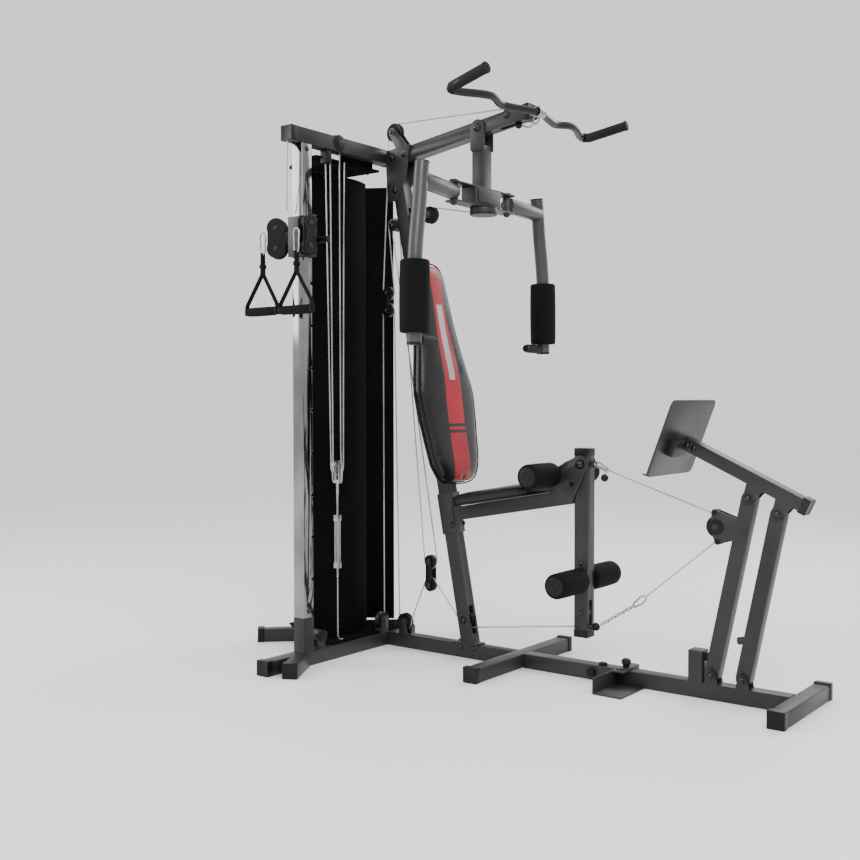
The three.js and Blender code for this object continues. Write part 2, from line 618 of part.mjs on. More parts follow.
// ---- leg press ----
function legPress() {
  const link = (foot, head, footBore, headBore) => {
    const body = join(
      bar([foot[0], 0, foot[1]], [head[0], 0, head[1]], 38, 46),
      boltY(...foot, 19, 23), boltY(...head, 19, 23));
    return body.subtract(boltY(...foot, 30, footBore)).subtract(boltY(...head, 30, headBore));
  };
  const bracket = wrapped([[806, 520, 8], [808, 566, 8], [730, 592, 9], [740, 501, 9], [735, 547, 20]]);
  part('front_link', join(link(frontFoot, frontHead, 6.7, 6.7),
    cheeks(bracket, 13, 4),
    boltY(735, 547, 20),
  ), 'frame');
  part('rear_link', join(link(rearFoot, rearHead, 6.7, 13),
    rod([832, 0, 199.4], [804, 0, 193.6], 12)), 'frame');
  const armStart = [628.5, 0, 808.2];
  const armEnd = [1022.5, 0, 622.9];
  const lugs = [frontHead, rearHead].map(([x, z]) => join(
    cheeks(wrapped([[x, z, 17], [x + 10, z + 50, 14], [x + 38, z + 37, 14]]), 20, plate),
    boltY(x, z, 28, 6)));
  const face = new THREE.Vector3(0.353, 0, 0.9356).normalize();
  const back = new THREE.Vector3(0.9356, 0, -0.353);
  const block = new THREE.Vector3(602, 0, 797).addScaledVector(back, 15);
  part('press_arm', join(
    bar(armStart, armEnd, tube, 40).subtract(box(500, 616, -60, 60, 700, 900)),
    bar([block.x, -90, block.z], [block.x, 90, block.z], 50, 25, face.toArray()),
    lugs,
  ), 'frame');
  const plateShape = rounded(332, 257.6, 22, 0, 128.8);
  const plateOptions = { depth: 4, bevelEnabled: false, curveSegments: 6 };
  const plateGeometry = new THREE.ExtrudeGeometry(plateShape, plateOptions);
  plateGeometry.applyMatrix4(new THREE.Matrix4().makeBasis(
    new THREE.Vector3(0, -1, 0), face, back.clone()).setPosition(564.7, 0, 704.8));
  part('foot_plate', join(solid(plateGeometry), bar([566, 0, 706], [543, 0, 711], 280, 4)), 'frame');
}

// ---- foot rest on the front rail ----
function footRest() {
  const clear = half + gap;
  part('foot_rest', join(
    box(394, 497, -190, -clear, 0.5, 4.5),
    box(394, 398, -190, -clear, 0.5, 52),
    box(394, 440, -60, -clear, 47, 52),
    box(400, 434, -40, 40, tube + gap, 56),
    box(400, 434, clear, 62, 40, 56),
  ).subtract(rod([417, 0, 45], [417, 0, 70], 5.6, 12)), 'frame');
  part('foot_rest_knob', join(
    rod([417, 0, tube + 0.5], [417, 0, 70], 5, 12),
    rod([417, 0, 58], [417, 0, 84], 14, 12),
  ), 'black');
}

// ---- floating pulley blocks ----
function floatingBlock(x, y, high, low, radius, axis) {
  const [u, w] = axis === 'y' ? [[1, 0, 0], [0, 1, 0]] : [[0, 1, 0], [1, 0, 0]];
  const place = (a, h, b) => [x + a * u[0] + b * w[0], y + a * u[1] + b * w[1], h];
  const wheels = [high, low].map((h) => join(
    rod(place(0, h, -9), place(0, h, 9), radius, 12),
    rod(place(0, h, -19), place(0, h, 19), 7, 8)));
  const centre = axis === 'y' ? x : y;
  const cross = axis === 'y' ? y : x;
  const shape = wrapped([[centre, high, 13], [centre, low, 13]]);
  const sides = [13, -17].map((inner) => flat(shape, cross + inner, cross + inner + 4, axis));
  return join(wheels, sides);
}

function floatingBlocks() {
  part('mid_block', floatingBlock(-604, 0, 1357, 1290, 24.5, 'y'), 'black');
  part('low_block', floatingBlock(-401, 0, 338, 248, 24.5, 'y'), 'black');
  const barX = 8;
  const y = -281;
  const sheaveZ = 700;
  const stud = (low, high, radius) => rod([sideX, y, low], [sideX, y, high], radius);
  const nut = (low) => box(sideX - 11, sideX + 11, y - 9, y + 9, low, low + 22);
  part('tower_float', join(
    rod([sideX - 9, y, sheaveZ], [sideX + 9, y, sheaveZ], 24, 14),
    rod([sideX - 19, y, sheaveZ], [sideX + 19, y, sheaveZ], 7),
    [13, -17].map((x) => flat(wrapped([[y, sheaveZ, 13], [y, 650, 9]]), sideX + x, sideX + x + 4, 'x')),
    box(sideX - 17, sideX + 17, y - 5, y + 5, 640, 652),
    stud(600, 650, 5),
    stud(500, 610, 4),
    stud(290, 340, 4),
    [-barX, barX].map((x) => box(sideX + x - 3, sideX + x + 3, y - 5, y + 5, 330, 518)),
    nut(500), nut(326),
  ), 'steel');
}

// ---- cables ----
function cables() {
  const cable = (name, points) => part(name, sweep(points, cableRadius, 8), 'steel');
  // From the lat bar over the arm, under the mid block, over the twin sheaves and round the low block
  // to the press frame's cam.
  const route = [
    [-14, 0, 1912], [-14, 0, 1948],
    ...arc([-44, 0, 1948], 30, 20, 80, 3),
    ...arc([-569, 0, 1965], 33, 85, 175, 5),
    [-604, 0, 1900],
    [-632, 0, 1357],
    ...arc([-604, 0, 1357], 28, 200, 340, 5),
    [-576, 0, 1357],
    [-596, -9.5, 1600],
    ...arc([-570, -9.5, 1612], 26, 170, 10, 6),
    [-544, -9.5, 1600],
    [-430, 0, 338],
    ...arc([-401, 0, 338], 28, 200, 340, 5),
    [-372, 0, 345],
    [-595, 9.5, 1588],
    ...arc([-570, 9.5, 1612], 26, 170, 95, 3),
    ...arc([-400, 0, 1636], 29, 95, 75, 2),
    [-212, 0, 1627],
  ];
  cable('upper_cable', route);
  // From the leg lever under the upright's pulley, round the low block, the rail pulley and the
  // mid block, and down to the side rail.
  cable('low_cable', [
    [303, 0, 176], [232, 0, 169],
    ...arc([-233, 0, 138], 30, 277, 214, 4),
    ...arc([-401, 0, 248], 28, 25, 155, 6),
    ...arc([-524, 0, 95], 29, 10, -190, 9),
    [-572, 0, 1100],
    ...arc([-604, 0, 1290], 28, 10, 170, 6),
    [-632, 0, 1250],
    [-630, 0, 60],
  ]);
  // From the carriage up to the top beam and twice down to the floating block.
  const [a, b] = [sideX - 5, sideX + 5];
  const y = [0, 1, 0];
  const z = [0, 0, 1];
  cable('tower_cable', [
    [-652, -505, 1612], [-630, -525, 1760],
    ...arc([sideX, -512, 1866], 20, 200, 100, 4, y, z),
  ]);
  cable('strand_cable', [
    [a, -333, 1834], [a, -309, 720],
    ...arc([a, -281, 700], 28, 180, 360, 6, y, z),
    [a, -256, 760], [a, -258, 1800],
    ...arc([sideX, -291, 1876], 31.2, -10, 190, 7, y, z),
    [b, -319, 1820], [b, -309, 720],
    ...arc([b, -281, 700], 28, 180, 360, 6, y, z),
    [b, -247, 1560], [b, -242, 1818],
  ]);
  cable('stack_cable', [
    [sideX, -281, 288], [sideX, -281, 75], [sideX, -272, 60], [sideX, -255, 58],
  ]);
  cable('link_cable', [
    [299, 0, 726], [399, 0, 692],
    ...arc([735, 0, 547], 33, 71, -45, 6),
    [487, 0, 297], [320, 0, 183], [306, 0, 176],
  ]);
}

baseFrame();
tower();
weightTower();
seating();
pulleys();
carriage();
pressStation();
latBar();
legStation();
legPress();
footRest();
floatingBlocks();
cables();

export default gym;
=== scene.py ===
import json
import math

import bpy
from mathutils import Matrix, Vector


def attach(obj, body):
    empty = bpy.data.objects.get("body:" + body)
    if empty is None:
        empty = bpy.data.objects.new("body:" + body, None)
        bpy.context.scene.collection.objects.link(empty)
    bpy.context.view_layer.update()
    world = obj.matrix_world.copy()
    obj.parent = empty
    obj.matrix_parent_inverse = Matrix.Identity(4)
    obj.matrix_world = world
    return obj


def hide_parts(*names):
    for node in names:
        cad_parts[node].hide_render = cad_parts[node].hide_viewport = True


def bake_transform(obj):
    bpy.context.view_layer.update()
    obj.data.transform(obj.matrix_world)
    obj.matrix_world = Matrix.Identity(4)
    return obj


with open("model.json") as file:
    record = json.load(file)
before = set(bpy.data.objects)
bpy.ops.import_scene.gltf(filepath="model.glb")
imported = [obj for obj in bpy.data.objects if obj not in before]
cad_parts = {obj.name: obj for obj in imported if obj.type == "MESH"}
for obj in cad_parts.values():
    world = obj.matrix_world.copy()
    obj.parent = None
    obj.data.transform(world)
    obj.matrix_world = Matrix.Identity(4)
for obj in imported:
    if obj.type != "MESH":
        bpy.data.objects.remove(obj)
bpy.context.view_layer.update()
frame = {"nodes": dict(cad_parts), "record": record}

# The script's own unit is the millimetre, and the frame's is the metre.
mm = 0.001
lean = 0.188  # how far the upright leans back per unit of height
uprightFoot = (-219.6, 64)  # x and z of the upright's axis at its foot
sideX = -620  # the side rail, the top beam and the tower wheel
postY = -461  # the chrome column
saddle = (-168, 1921.5)  # x and z of the pivot of the press arms
cableRadius = 2.5


def point(x, y, z):
    return Vector((x, y, z)) * mm


def uprightX(z):
    return uprightFoot[0] - lean * (z - uprightFoot[1])


# Points round a centre, in millimetres, from one angle to another.
def arc(centre, radius, begin, end, steps=8, across=(1, 0, 0), up=(0, 0, 1)):
    found = []
    for i in range(steps + 1):
        turn = math.radians(begin + (end - begin) * i / steps)
        found.append(
            [c + radius * (math.cos(turn) * a + math.sin(turn) * u) for c, a, u in zip(centre, across, up)]
        )
    return found


# Working on meshes
def only(obj):
    if bpy.context.object and bpy.context.object.mode != "OBJECT":
        bpy.ops.object.mode_set(mode="OBJECT")
    bpy.ops.object.select_all(action="DESELECT")
    obj.select_set(True)
    bpy.context.view_layer.objects.active = obj


def settle(obj):
    only(obj)
    bpy.ops.object.transform_apply(location=True, rotation=True, scale=True)
    return obj


def modify(obj, kind, **values):
    only(obj)
    modifier = obj.modifiers.new(kind.title(), kind)
    for key, value in values.items():
        setattr(modifier, key, value)
    bpy.ops.object.modifier_apply(modifier=modifier.name)
    return obj


def bevelled(obj, width, segments=2, angle=35):
    limit = {"limit_method": "ANGLE", "angle_limit": math.radians(angle)}
    return modify(obj, "BEVEL", width=width * mm, segments=segments, **limit)


def smooth(obj, angle=42):
    only(obj)
    bpy.ops.object.shade_smooth_by_angle(angle=math.radians(angle))
    return obj


def joined(parts):
    only(parts[0])
    for part in parts[1:]:
        part.select_set(True)
    bpy.ops.object.join()
    return bpy.context.object


def dress(obj, name, body, material, slot, *nodes):
    obj.name = name
    obj.data.name = name
    obj.data.materials.clear()
    obj.data.materials.append(material)
    if body:
        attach(obj, body)
    if nodes:
        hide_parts(*nodes)
    return obj


# A matrix that stands local Z along axis at a place in millimetres.
def turned(axis, x=0, y=0, z=0):
    return Matrix.Translation(point(x, y, z)) @ Vector(axis).to_track_quat("Z", "Y").to_matrix().to_4x4()


# A round bar with broken edges between two points.
def drum(start, end, radius, edge=1.0, sides=40, segments=2):
    a, b = Vector(start), Vector(end)
    bpy.ops.object.select_all(action="DESELECT")
    bpy.ops.mesh.primitive_cylinder_add(vertices=sides, radius=radius * mm, depth=(b - a).length * mm)
    obj = bpy.context.object
    bevelled(obj, edge, segments)
    obj.data.transform(turned(b - a, *((a + b) / 2)))
    return smooth(obj)


# A box with rounded edges between two corners.
def block(low, high, edge=2.0, segments=3):
    a, b = Vector(low), Vector(high)
    bpy.ops.object.select_all(action="DESELECT")
    bpy.ops.mesh.primitive_cube_add(size=1, location=(a + b) / 2 * mm, scale=(b - a) * mm)
    obj = settle(bpy.context.object)
    bevelled(obj, edge, segments)
    return smooth(obj)


# A round bar that follows points in millimetres.
def hose(points, radius, sides=8, kind="POLY", cyclic=False):
    data = bpy.data.curves.new("hose", "CURVE")
    data.dimensions = "3D"
    data.bevel_depth = radius * mm
    data.bevel_resolution = max(1, sides // 4)
    data.use_fill_caps = not cyclic
    data.resolution_u = 6
    spline = data.splines.new(kind)
    if kind == "BEZIER":
        spline.bezier_points.add(len(points) - 1)
        for knot, place in zip(spline.bezier_points, points):
            knot.co = Vector(place) * mm
            knot.handle_left_type = knot.handle_right_type = "AUTO"
    else:
        spline.points.add(len(points) - 1)
        for knot, place in zip(spline.points, points):
            knot.co = (*(Vector(place) * mm), 1)
    spline.use_cyclic_u = cyclic
    obj = bpy.data.objects.new("hose", data)
    bpy.context.scene.collection.objects.link(obj)
    only(obj)
    bpy.ops.object.convert(target="MESH")
    return smooth(bpy.context.object, 60)


# A flat plate from an outline in millimetres, stood in place by a matrix.
def plate(outline, thickness, matrix, edge=0.8):
    data = bpy.data.curves.new("plate", "CURVE")
    data.dimensions = "2D"
    data.fill_mode = "BOTH"
    data.extrude = (thickness / 2 - edge) * mm
    data.bevel_depth = edge * mm
    data.bevel_resolution = 1
    data.offset = -edge * mm
    spline = data.splines.new("POLY")
    spline.points.add(len(outline) - 1)
    for knot, (u, v) in zip(spline.points, outline):
        knot.co = (u * mm, v * mm, 0, 1)
    spline.use_cyclic_u = True
    obj = bpy.data.objects.new("plate", data)
    bpy.context.scene.collection.objects.link(obj)
    only(obj)
    bpy.ops.object.convert(target="MESH")
    obj = bpy.context.object
    obj.data.transform(matrix)
    return smooth(obj, 30)


# A turned piece: [radius, offset along the axis] points, spun round its axis.
def wheel(profile, place, axis="y", steps=48):
    obj = hose([(r, 0, w) for r, w in profile], 0)
    modify(obj, "SCREW", angle=math.tau, steps=steps, render_steps=steps, axis="Z")
    only(obj)
    bpy.ops.object.mode_set(mode="EDIT")
    bpy.ops.mesh.select_all(action="SELECT")
    bpy.ops.mesh.remove_doubles(threshold=1e-5)
    bpy.ops.mesh.normals_make_consistent(inside=False)
    bpy.ops.object.mode_set(mode="OBJECT")
    axes = {"x": (1, 0, 0), "y": (0, 1, 0), "z": (0, 0, 1)}
    obj.data.transform(turned(axes[axis], *place))
    return smooth(obj, 35)


# A copy of a CAD node's shape with its flat faces made whole and its edges rounded.
def finished(node, edge=1.6, angle=45):
    obj = bpy.data.objects.new(node, frame["nodes"][node].data.copy())
    bpy.context.scene.collection.objects.link(obj)
    only(obj)
    bpy.ops.object.mode_set(mode="EDIT")
    bpy.ops.mesh.select_all(action="SELECT")
    bpy.ops.mesh.remove_doubles(threshold=2e-5)
    bpy.ops.mesh.dissolve_limited(angle_limit=math.radians(1.5))
    bpy.ops.mesh.normals_make_consistent(inside=False)
    bpy.ops.object.mode_set(mode="OBJECT")
    bevelled(obj, edge, 2, angle)
    return smooth(obj, 40)


# Materials
def nodesOf(name):
    material = bpy.data.materials.new(name)
    material.use_nodes = True
    tree = material.node_tree
    shader = tree.nodes["Principled BSDF"]
    return material, tree, shader


def noise(tree, scale, detail=4):
    coordinates = tree.nodes.new("ShaderNodeTexCoord")
    texture = tree.nodes.new("ShaderNodeTexNoise")
    texture.inputs["Scale"].default_value = scale
    texture.inputs["Detail"].default_value = detail
    tree.links.new(coordinates.outputs["Object"], texture.inputs["Vector"])
    return texture.outputs["Fac"]


def ramp(tree, source, low, high, start=0.35, end=0.65):
    node = tree.nodes.new("ShaderNodeMapRange")
    node.inputs["From Min"].default_value = start
    node.inputs["From Max"].default_value = end
    node.inputs["To Min"].default_value = low
    node.inputs["To Max"].default_value = high
    tree.links.new(source, node.inputs["Value"])
    return node.outputs["Result"]


def mixed(tree, source, first, second):
    node = tree.nodes.new("ShaderNodeMix")
    node.data_type = "RGBA"
    node.inputs["A"].default_value = (*first, 1)
    node.inputs["B"].default_value = (*second, 1)
    tree.links.new(source, node.inputs["Factor"])
    return node.outputs["Result"]


def bump(tree, shader, source, strength, distance):
    node = tree.nodes.new("ShaderNodeBump")
    node.inputs["Strength"].default_value = strength
    node.inputs["Distance"].default_value = distance
    tree.links.new(source, node.inputs["Height"])
    tree.links.new(node.outputs["Normal"], shader.inputs["Normal"])


# A coated or moulded surface: slow colour change, fine grain and uneven gloss.
def coated(name, dark, light, rough, grain=420, relief=0.00025, metal=0.0, shine=0.35):
    material, tree, shader = nodesOf(name)
    shader.inputs["Metallic"].default_value = metal
    shader.inputs["Specular IOR Level"].default_value = shine
    slow = noise(tree, 6, 6)
    tree.links.new(mixed(tree, ramp(tree, slow, 0, 1), dark, light), shader.inputs["Base Color"])
    tree.links.new(ramp(tree, slow, rough[0], rough[1]), shader.inputs["Roughness"])
    bump(tree, shader, noise(tree, grain, 3), 0.35, relief)
    return material


# Each finish: its two colours, its range of roughness, and how fine and how deep its grain is.
looks = {
    "frame_paint": {
        "dark": (0.0150, 0.0147, 0.0145), "light": (0.0240, 0.0236, 0.0232),
        "rough": (0.34, 0.46), "grain": 700, "shine": 0.3,
    },
    "arm_paint": {
        "dark": (0.034, 0.035, 0.037), "light": (0.050, 0.051, 0.054),
        "rough": (0.30, 0.40), "grain": 600, "shine": 0.4,
    },
    "bar_paint": {
        "dark": (0.006, 0.006, 0.006), "light": (0.011, 0.011, 0.011),
        "rough": (0.30, 0.40), "grain": 700, "shine": 0.25,
    },
    "sheet_black": {
        "dark": (0.003, 0.003, 0.003), "light": (0.005, 0.005, 0.005),
        "rough": (0.80, 0.92), "grain": 800, "shine": 0.03,
    },
    "black_nylon": {
        "dark": (0.003, 0.003, 0.0033), "light": (0.007, 0.007, 0.0073),
        "rough": (0.34, 0.48), "grain": 350, "shine": 0.2,
    },
    "black_rubber": {
        "dark": (0.004, 0.004, 0.004), "light": (0.009, 0.009, 0.009),
        "rough": (0.60, 0.76), "grain": 260, "relief": 0.0005, "shine": 0.2,
    },
    "foam_skin": {
        "dark": (0.002, 0.002, 0.002), "light": (0.005, 0.005, 0.005),
        "rough": (0.75, 0.90), "grain": 900, "relief": 0.0007, "shine": 0.12,
    },
    "black_vinyl": {
        "dark": (0.004, 0.004, 0.0045), "light": (0.008, 0.008, 0.0085),
        "rough": (0.32, 0.44), "grain": 520, "relief": 0.0006, "shine": 0.3,
    },
    "zinc": {
        "dark": (0.26, 0.265, 0.27), "light": (0.42, 0.425, 0.43),
        "rough": (0.20, 0.34), "grain": 300, "metal": 1.0,
    },
    "chrome": {
        "dark": (0.17, 0.175, 0.18), "light": (0.26, 0.265, 0.27),
        "rough": (0.07, 0.14), "grain": 90, "relief": 0.00004, "metal": 1.0,
    },
    "cable_coat": {
        "dark": (0.30, 0.30, 0.31), "light": (0.46, 0.46, 0.47),
        "rough": (0.22, 0.34), "grain": 900, "metal": 0.7,
    },
    "weight_enamel": {
        "dark": (0.008, 0.008, 0.009), "light": (0.016, 0.016, 0.017),
        "rough": (0.48, 0.62), "grain": 160, "relief": 0.0009,
    },
    "webbing": {
        "dark": (0.003, 0.003, 0.003), "light": (0.008, 0.008, 0.008),
        "rough": (0.75, 0.90), "grain": 1100, "relief": 0.0008, "shine": 0.15,
    },
    "bolt_black": {
        "dark": (0.004, 0.004, 0.0043), "light": (0.008, 0.008, 0.0085),
        "rough": (0.10, 0.18), "grain": 400, "relief": 0.00006, "shine": 0.45,
    },
}
coats = {name: coated(name, **look) for name, look in looks.items()}
paint, satin, barPaint = coats["frame_paint"], coats["arm_paint"], coats["bar_paint"]
sheetBlack, nylon, rubber = coats["sheet_black"], coats["black_nylon"], coats["black_rubber"]
foam, vinyl, webbing = coats["foam_skin"], coats["black_vinyl"], coats["webbing"]
zinc, chrome, wire = coats["zinc"], coats["chrome"], coats["cable_coat"]
iron, darkBolt = coats["weight_enamel"], coats["bolt_black"]
print("materials made")

# Frame pieces
bodyOf = {node: body for body, nodes in frame["record"]["behaviour"]["bodies"].items() for node in nodes}
slotOf = {part["node"]: part["material_slot"] for part in frame["record"]["subparts"]}
finishes = {
    "frame": paint, "chrome": chrome, "steel": zinc, "black": nylon, "rubber": rubber,
    "leather": vinyl, "sheet": sheetBlack, "iron": iron, "strap": webbing,
}
squareEdges = {
    "rear_rail": 4, "front_rail": 3, "cross_foot": 4, "end_foot": 4, "side_rail": 2, "rear_foot": 4,
    "chrome_post": 4, "top_beam": 2.5, "lat_arm": 2, "upright_post": 1.8, "seat_beam": 2, "carriage": 1.5,
    "press_frame": 1.8, "press_arm": 2, "foot_plate": 1, "foot_rest": 1, "leg_lever": 2.5, "front_link": 2,
    "rear_link": 2.5, "upper_stack": 0.8, "lower_stack": 0.8, "guide_frame": 0.8, "tower_float": 0.8,
    "low_block": 0.8, "mid_block": 0.8, "block_rear": 0.8, "block_front": 0.8,
}
for node, cad in frame["nodes"].items():
    cad.data.materials.clear()
    cad.data.materials.append(finishes[slotOf[node]])
for node, edge in squareEdges.items():
    piece = finished(node, edge)
    dress(piece, node + "_finish", bodyOf[node], finishes[slotOf[node]], slotOf[node], node)
print("frame pieces made")

# End caps and bolts
def placed(template, matrix):
    copy = template.copy()
    copy.data = template.data.copy()
    copy.data.transform(matrix)
    bpy.context.scene.collection.objects.link(copy)
    return copy


capShape = {"length": 26, "shown": 3, "rim": 5, "dish": 1.6}


def capTemplate(wide, long):
    bpy.ops.object.select_all(action="DESELECT")
    bpy.ops.mesh.primitive_cube_add(size=1, scale=(wide * mm, wide * mm, long * mm))
    obj = settle(bpy.context.object)
    only(obj)
    bpy.ops.object.mode_set(mode="EDIT")
    bpy.ops.mesh.select_all(action="DESELECT")
    bpy.ops.object.mode_set(mode="OBJECT")
    for face in obj.data.polygons:
        face.select = face.normal.z > 0.9
    bpy.ops.object.mode_set(mode="EDIT")
    bpy.ops.mesh.inset(thickness=capShape["rim"] * mm)
    bpy.ops.transform.translate(value=(0, 0, -capShape["dish"] * mm))
    bpy.ops.object.mode_set(mode="OBJECT")
    bevelled(obj, 1.8, 3)
    return smooth(obj)


# A dome head on a washer, of unit radius in millimetres, standing on Z.
def boltTemplate():
    head = [(0, 0.85), (0.35, 0.82), (0.68, 0.66), (0.9, 0.4), (0.98, 0.16), (1.0, 0.12)]
    washer = [(1.28, 0.12), (1.3, 0), (0, 0)]
    return wheel([*head, *washer], (0, 0, 0), "z", 24)


capPlaces = {
    "root": [
        ((0, -314, 26.8), (0, -1, 0), 53.5), ((0, 314, 26.8), (0, 1, 0), 53.5),
        ((1002, -213, 26.8), (0, -1, 0), 53.5), ((1002, 213, 26.8), (0, 1, 0), 53.5),
        ((-620, -665, 26.8), (0, -1, 0), 53.5), ((-517, -638, 26.8), (94, -163, 0), 53.5),
        ((-1038.9, -280.9, 26.8), (-1, -1, 0), 53.5), ((-620, -536, 1874), (0, -1, 0), 53.5),
        ((-620, 27, 1874), (0, 1, 0), 53.5), ((45, 0, 1952.4), (1, 0, 0.145), 52.5),
    ],
    "press_arm": [((1022.5, 0, 622.9), (0.905, 0, -0.4256), 50)],
    "leg_lever": [((257, 0, 779), (0, 0, 1), 52.5), ((257, 0, 140), (0, 0, -1), 52.5)],
}
for body, places in capPlaces.items():
    made = []
    for place, axis, size in places:
        template = capTemplate(size, capShape["length"])
        inward = Vector(axis).normalized() * (capShape["length"] / 2 - capShape["shown"])
        place = Vector(place) - inward
        template.data.transform(turned(axis, *place))
        made.append(template)
    dress(joined(made), "caps_" + body, body, nylon, "black")

rearAim = math.radians(212)  # the way the rear pulley block hangs from its pin
rearPin, rearReach = (-680, postY), 45
rearWheel = (rearPin[0] + rearReach * math.cos(rearAim), rearPin[1] + rearReach * math.sin(rearAim))
rearSide = (math.sin(rearAim), -math.cos(rearAim), 0)


def bothSides(x, z, reach, radius):
    return [((x, side * reach, z), (0, side, 0), radius) for side in (-1, 1)]


boltPlaces = {
    "root": [
        ((-264, 0, 56), (0, 0, 1), 7),
        ((-594.8, postY, 1828), (1, 0, 0), 6), ((-594.8, postY, 196), (1, 0, 0), 6),
        ((-590, -291, 1878), (1, 0, 0), 9), ((-650, -291, 1878), (-1, 0, 0), 9),
        *bothSides(-44, 1948, 25, 8), *bothSides(-569, 1965, 22, 9), *bothSides(-400, 1636, 19, 8),
        *bothSides(-570, 1612, 22.5, 8), *bothSides(-233, 138, 25, 9), *bothSides(724, 79, 29, 9),
        *bothSides(826, 79, 29, 9), *bothSides(256, 728, 31, 11), *bothSides(-562, 1866, 30, 8),
        *bothSides(-505, 1872, 30, 8), *bothSides(-548, 1742, 30, 8), *bothSides(-246, 38, 25, 8),
        *bothSides(-190, 38, 25, 8), *bothSides(-276, 487, 30, 8),
    ],
    "press_frame": [
        *bothSides(saddle[0], saddle[1], 31, 11),
        *[((-171, side * 167, 1707), (0, 0, 1), 11) for side in (-1, 1)],
        *[((-171, side * 167, 1636.8), (0, 0, -1), 11) for side in (-1, 1)],
    ],
    "press_arm": [
        *bothSides(841, 643, 28, 9), *bothSides(932, 600, 28, 9),
        *bothSides(642, 802, 24.8, 7), *bothSides(664, 791.5, 24.8, 7),
    ],
    "leg_lever": [*bothSides(257, 222, 24.5, 8), *bothSides(257, 390, 24.5, 8)],
    "front_link": bothSides(735, 547, 20, 8),
    "carriage": [
        ((-680, -461, 1552), (0, 0, 1), 8), ((-558, -468, 1588), (0, 0, 1), 8),
        ((-680, -461, 1488), (0, 0, -1), 8), ((-558, -468, 1452), (0, 0, -1), 8),
    ],
    "rear_block": [
        ((rearWheel[0] + side * 21.5 * rearSide[0], rearWheel[1] + side * 21.5 * rearSide[1], z),
         (side * rearSide[0], side * rearSide[1], 0), 7)
        for z in (1484, 1557) for side in (-1, 1)
    ],
    "front_block": [((-558 + side * 20, -503, z), (side, 0, 0), 7) for z in (1481, 1559) for side in (-1, 1)],
    "mid_block": [((-604, side * 19, z), (0, side, 0), 7) for z in (1357, 1290) for side in (-1, 1)],
    "low_block": [((-401, side * 19, z), (0, side, 0), 7) for z in (338, 248) for side in (-1, 1)],
}
dome = boltTemplate()
for body, places in boltPlaces.items():
    made = [
        placed(dome, turned(axis, *place) @ Matrix.Scale(1.2 * radius, 4))
        for place, axis, radius in places
    ]
    dress(joined(made), "bolts_" + body, body, darkBolt, "black")
bpy.data.objects.remove(dome)
print("caps and bolts made")


# Foam, grips and rollers

# A foam tube with rolled ends and a slightly full middle.
def sleeve(start, end, radius, bore, roll=6, crown=1.5, steps=56):
    a, b = Vector(start), Vector(end)
    half = (b - a).length / 2
    flat, corner = radius - roll, (0.5, 1.0, 1.57)
    profile = [(bore, -half + 3), (bore + 2, -half), (flat, -half)]
    profile += [(flat + roll * math.sin(t), -half + roll * (1 - math.cos(t))) for t in corner]
    profile += [(radius + crown * math.cos(s * 1.5), s * (half - roll)) for s in (-0.6, -0.2, 0.2, 0.6)]
    profile += [(flat + roll * math.sin(t), half - roll * (1 - math.cos(t))) for t in reversed(corner)]
    profile += [(flat, half), (bore + 2, half), (bore, half - 3), (bore, -half + 3)]
    obj = wheel(profile, (0, 0, 0), "z", steps)
    obj.data.transform(turned(b - a, *((a + b) / 2)))
    return smooth(obj, 50)


# Places on a press arm are a reach from its pin and a height.
armAims = {"left": (-1, -79), "right": (1, 95)}  # side of the press frame, and heading in degrees
armPin = (-171, 167)
armPath = [
    (246, 1729), (252, 1700), (258, 1660), (270, 1580),
    (286, 1500), (296, 1440), (300, 1403), (305, 1131),
]
armCross, armHandle = 1672, 1144  # heights of the cross tube and of the handle


def swingArm(name, side, aim):
    turn = math.radians(aim)
    pin = (armPin[0], side * armPin[1])

    def at(r, z):
        return (pin[0] + r * math.cos(turn), pin[1] + r * math.sin(turn), z)

    body = name + "_arm"
    bars = joined([
        drum(at(4, armCross), at(252, armCross), 28.6, 2, 48),
        drum((*pin, 1643), (*pin, 1701), 15, 1, 32),
        hose([at(r, z) for r, z in armPath], 25, 32, "BEZIER"),
        drum(at(303, armHandle), at(160, armHandle), 12.5, 2, 32),
        drum(at(277, 1669), at(281, 1669), 6, 0.5, 16),
    ])
    dress(bars, f"arm_{name}_finish", body, satin, "frame", "arm_" + name)
    tops = joined([
        drum(at(245.6, 1727), at(244.9, 1732), 25.4, 1.5, 40),
        drum(at(160, armHandle), at(154, armHandle), 14, 1.5, 32),
        drum(at(305, 1135), at(305.3, 1126), 25.6, 2, 40),
    ])
    dress(tops, f"arm_caps_{name}", body, nylon, "black")
    pad = sleeve(at(300.1, 1403), at(304.4, 1165), 49, 25.2, 7)
    dress(pad, f"foam_{name}_skin", body, foam, "rubber", "foam_" + name)
    grip = sleeve(at(270, armHandle), at(168, armHandle), 16.5, 12.6, 3, 0.4, 40)
    dress(grip, f"press_grip_{name}", body, rubber, "rubber")


for name, (side, aim) in armAims.items():
    swingArm(name, side, aim)


def rollerPair(node, body, x, z, inner, outer, radius):
    bar = drum((x, -outer - 1, z), (x, outer + 1, z), 8.4, 0.5, 24)
    dress(bar, node + "_bar", body, zinc, "steel", node)
    cover = [(0, 8), (8, 8), (10, 6), (12, 3.5), (27, 3), (31, 1.5), (32, 0), (32, -2), (0, -2)]
    made = []
    for side in (-1, 1):
        pad = sleeve((x, side * inner, z), (x, side * outer, z), radius, 9, 8, 1)
        dress(pad, f"{node}_foam_{'right' if side < 0 else 'left'}", body, foam, "rubber")
        disc = wheel(cover, (0, 0, 0), "z", 40)
        disc.data.transform(turned((0, side, 0), x, side * outer, z))
        made.append(disc)
    dress(joined(made), node + "_covers", body, nylon, "black")


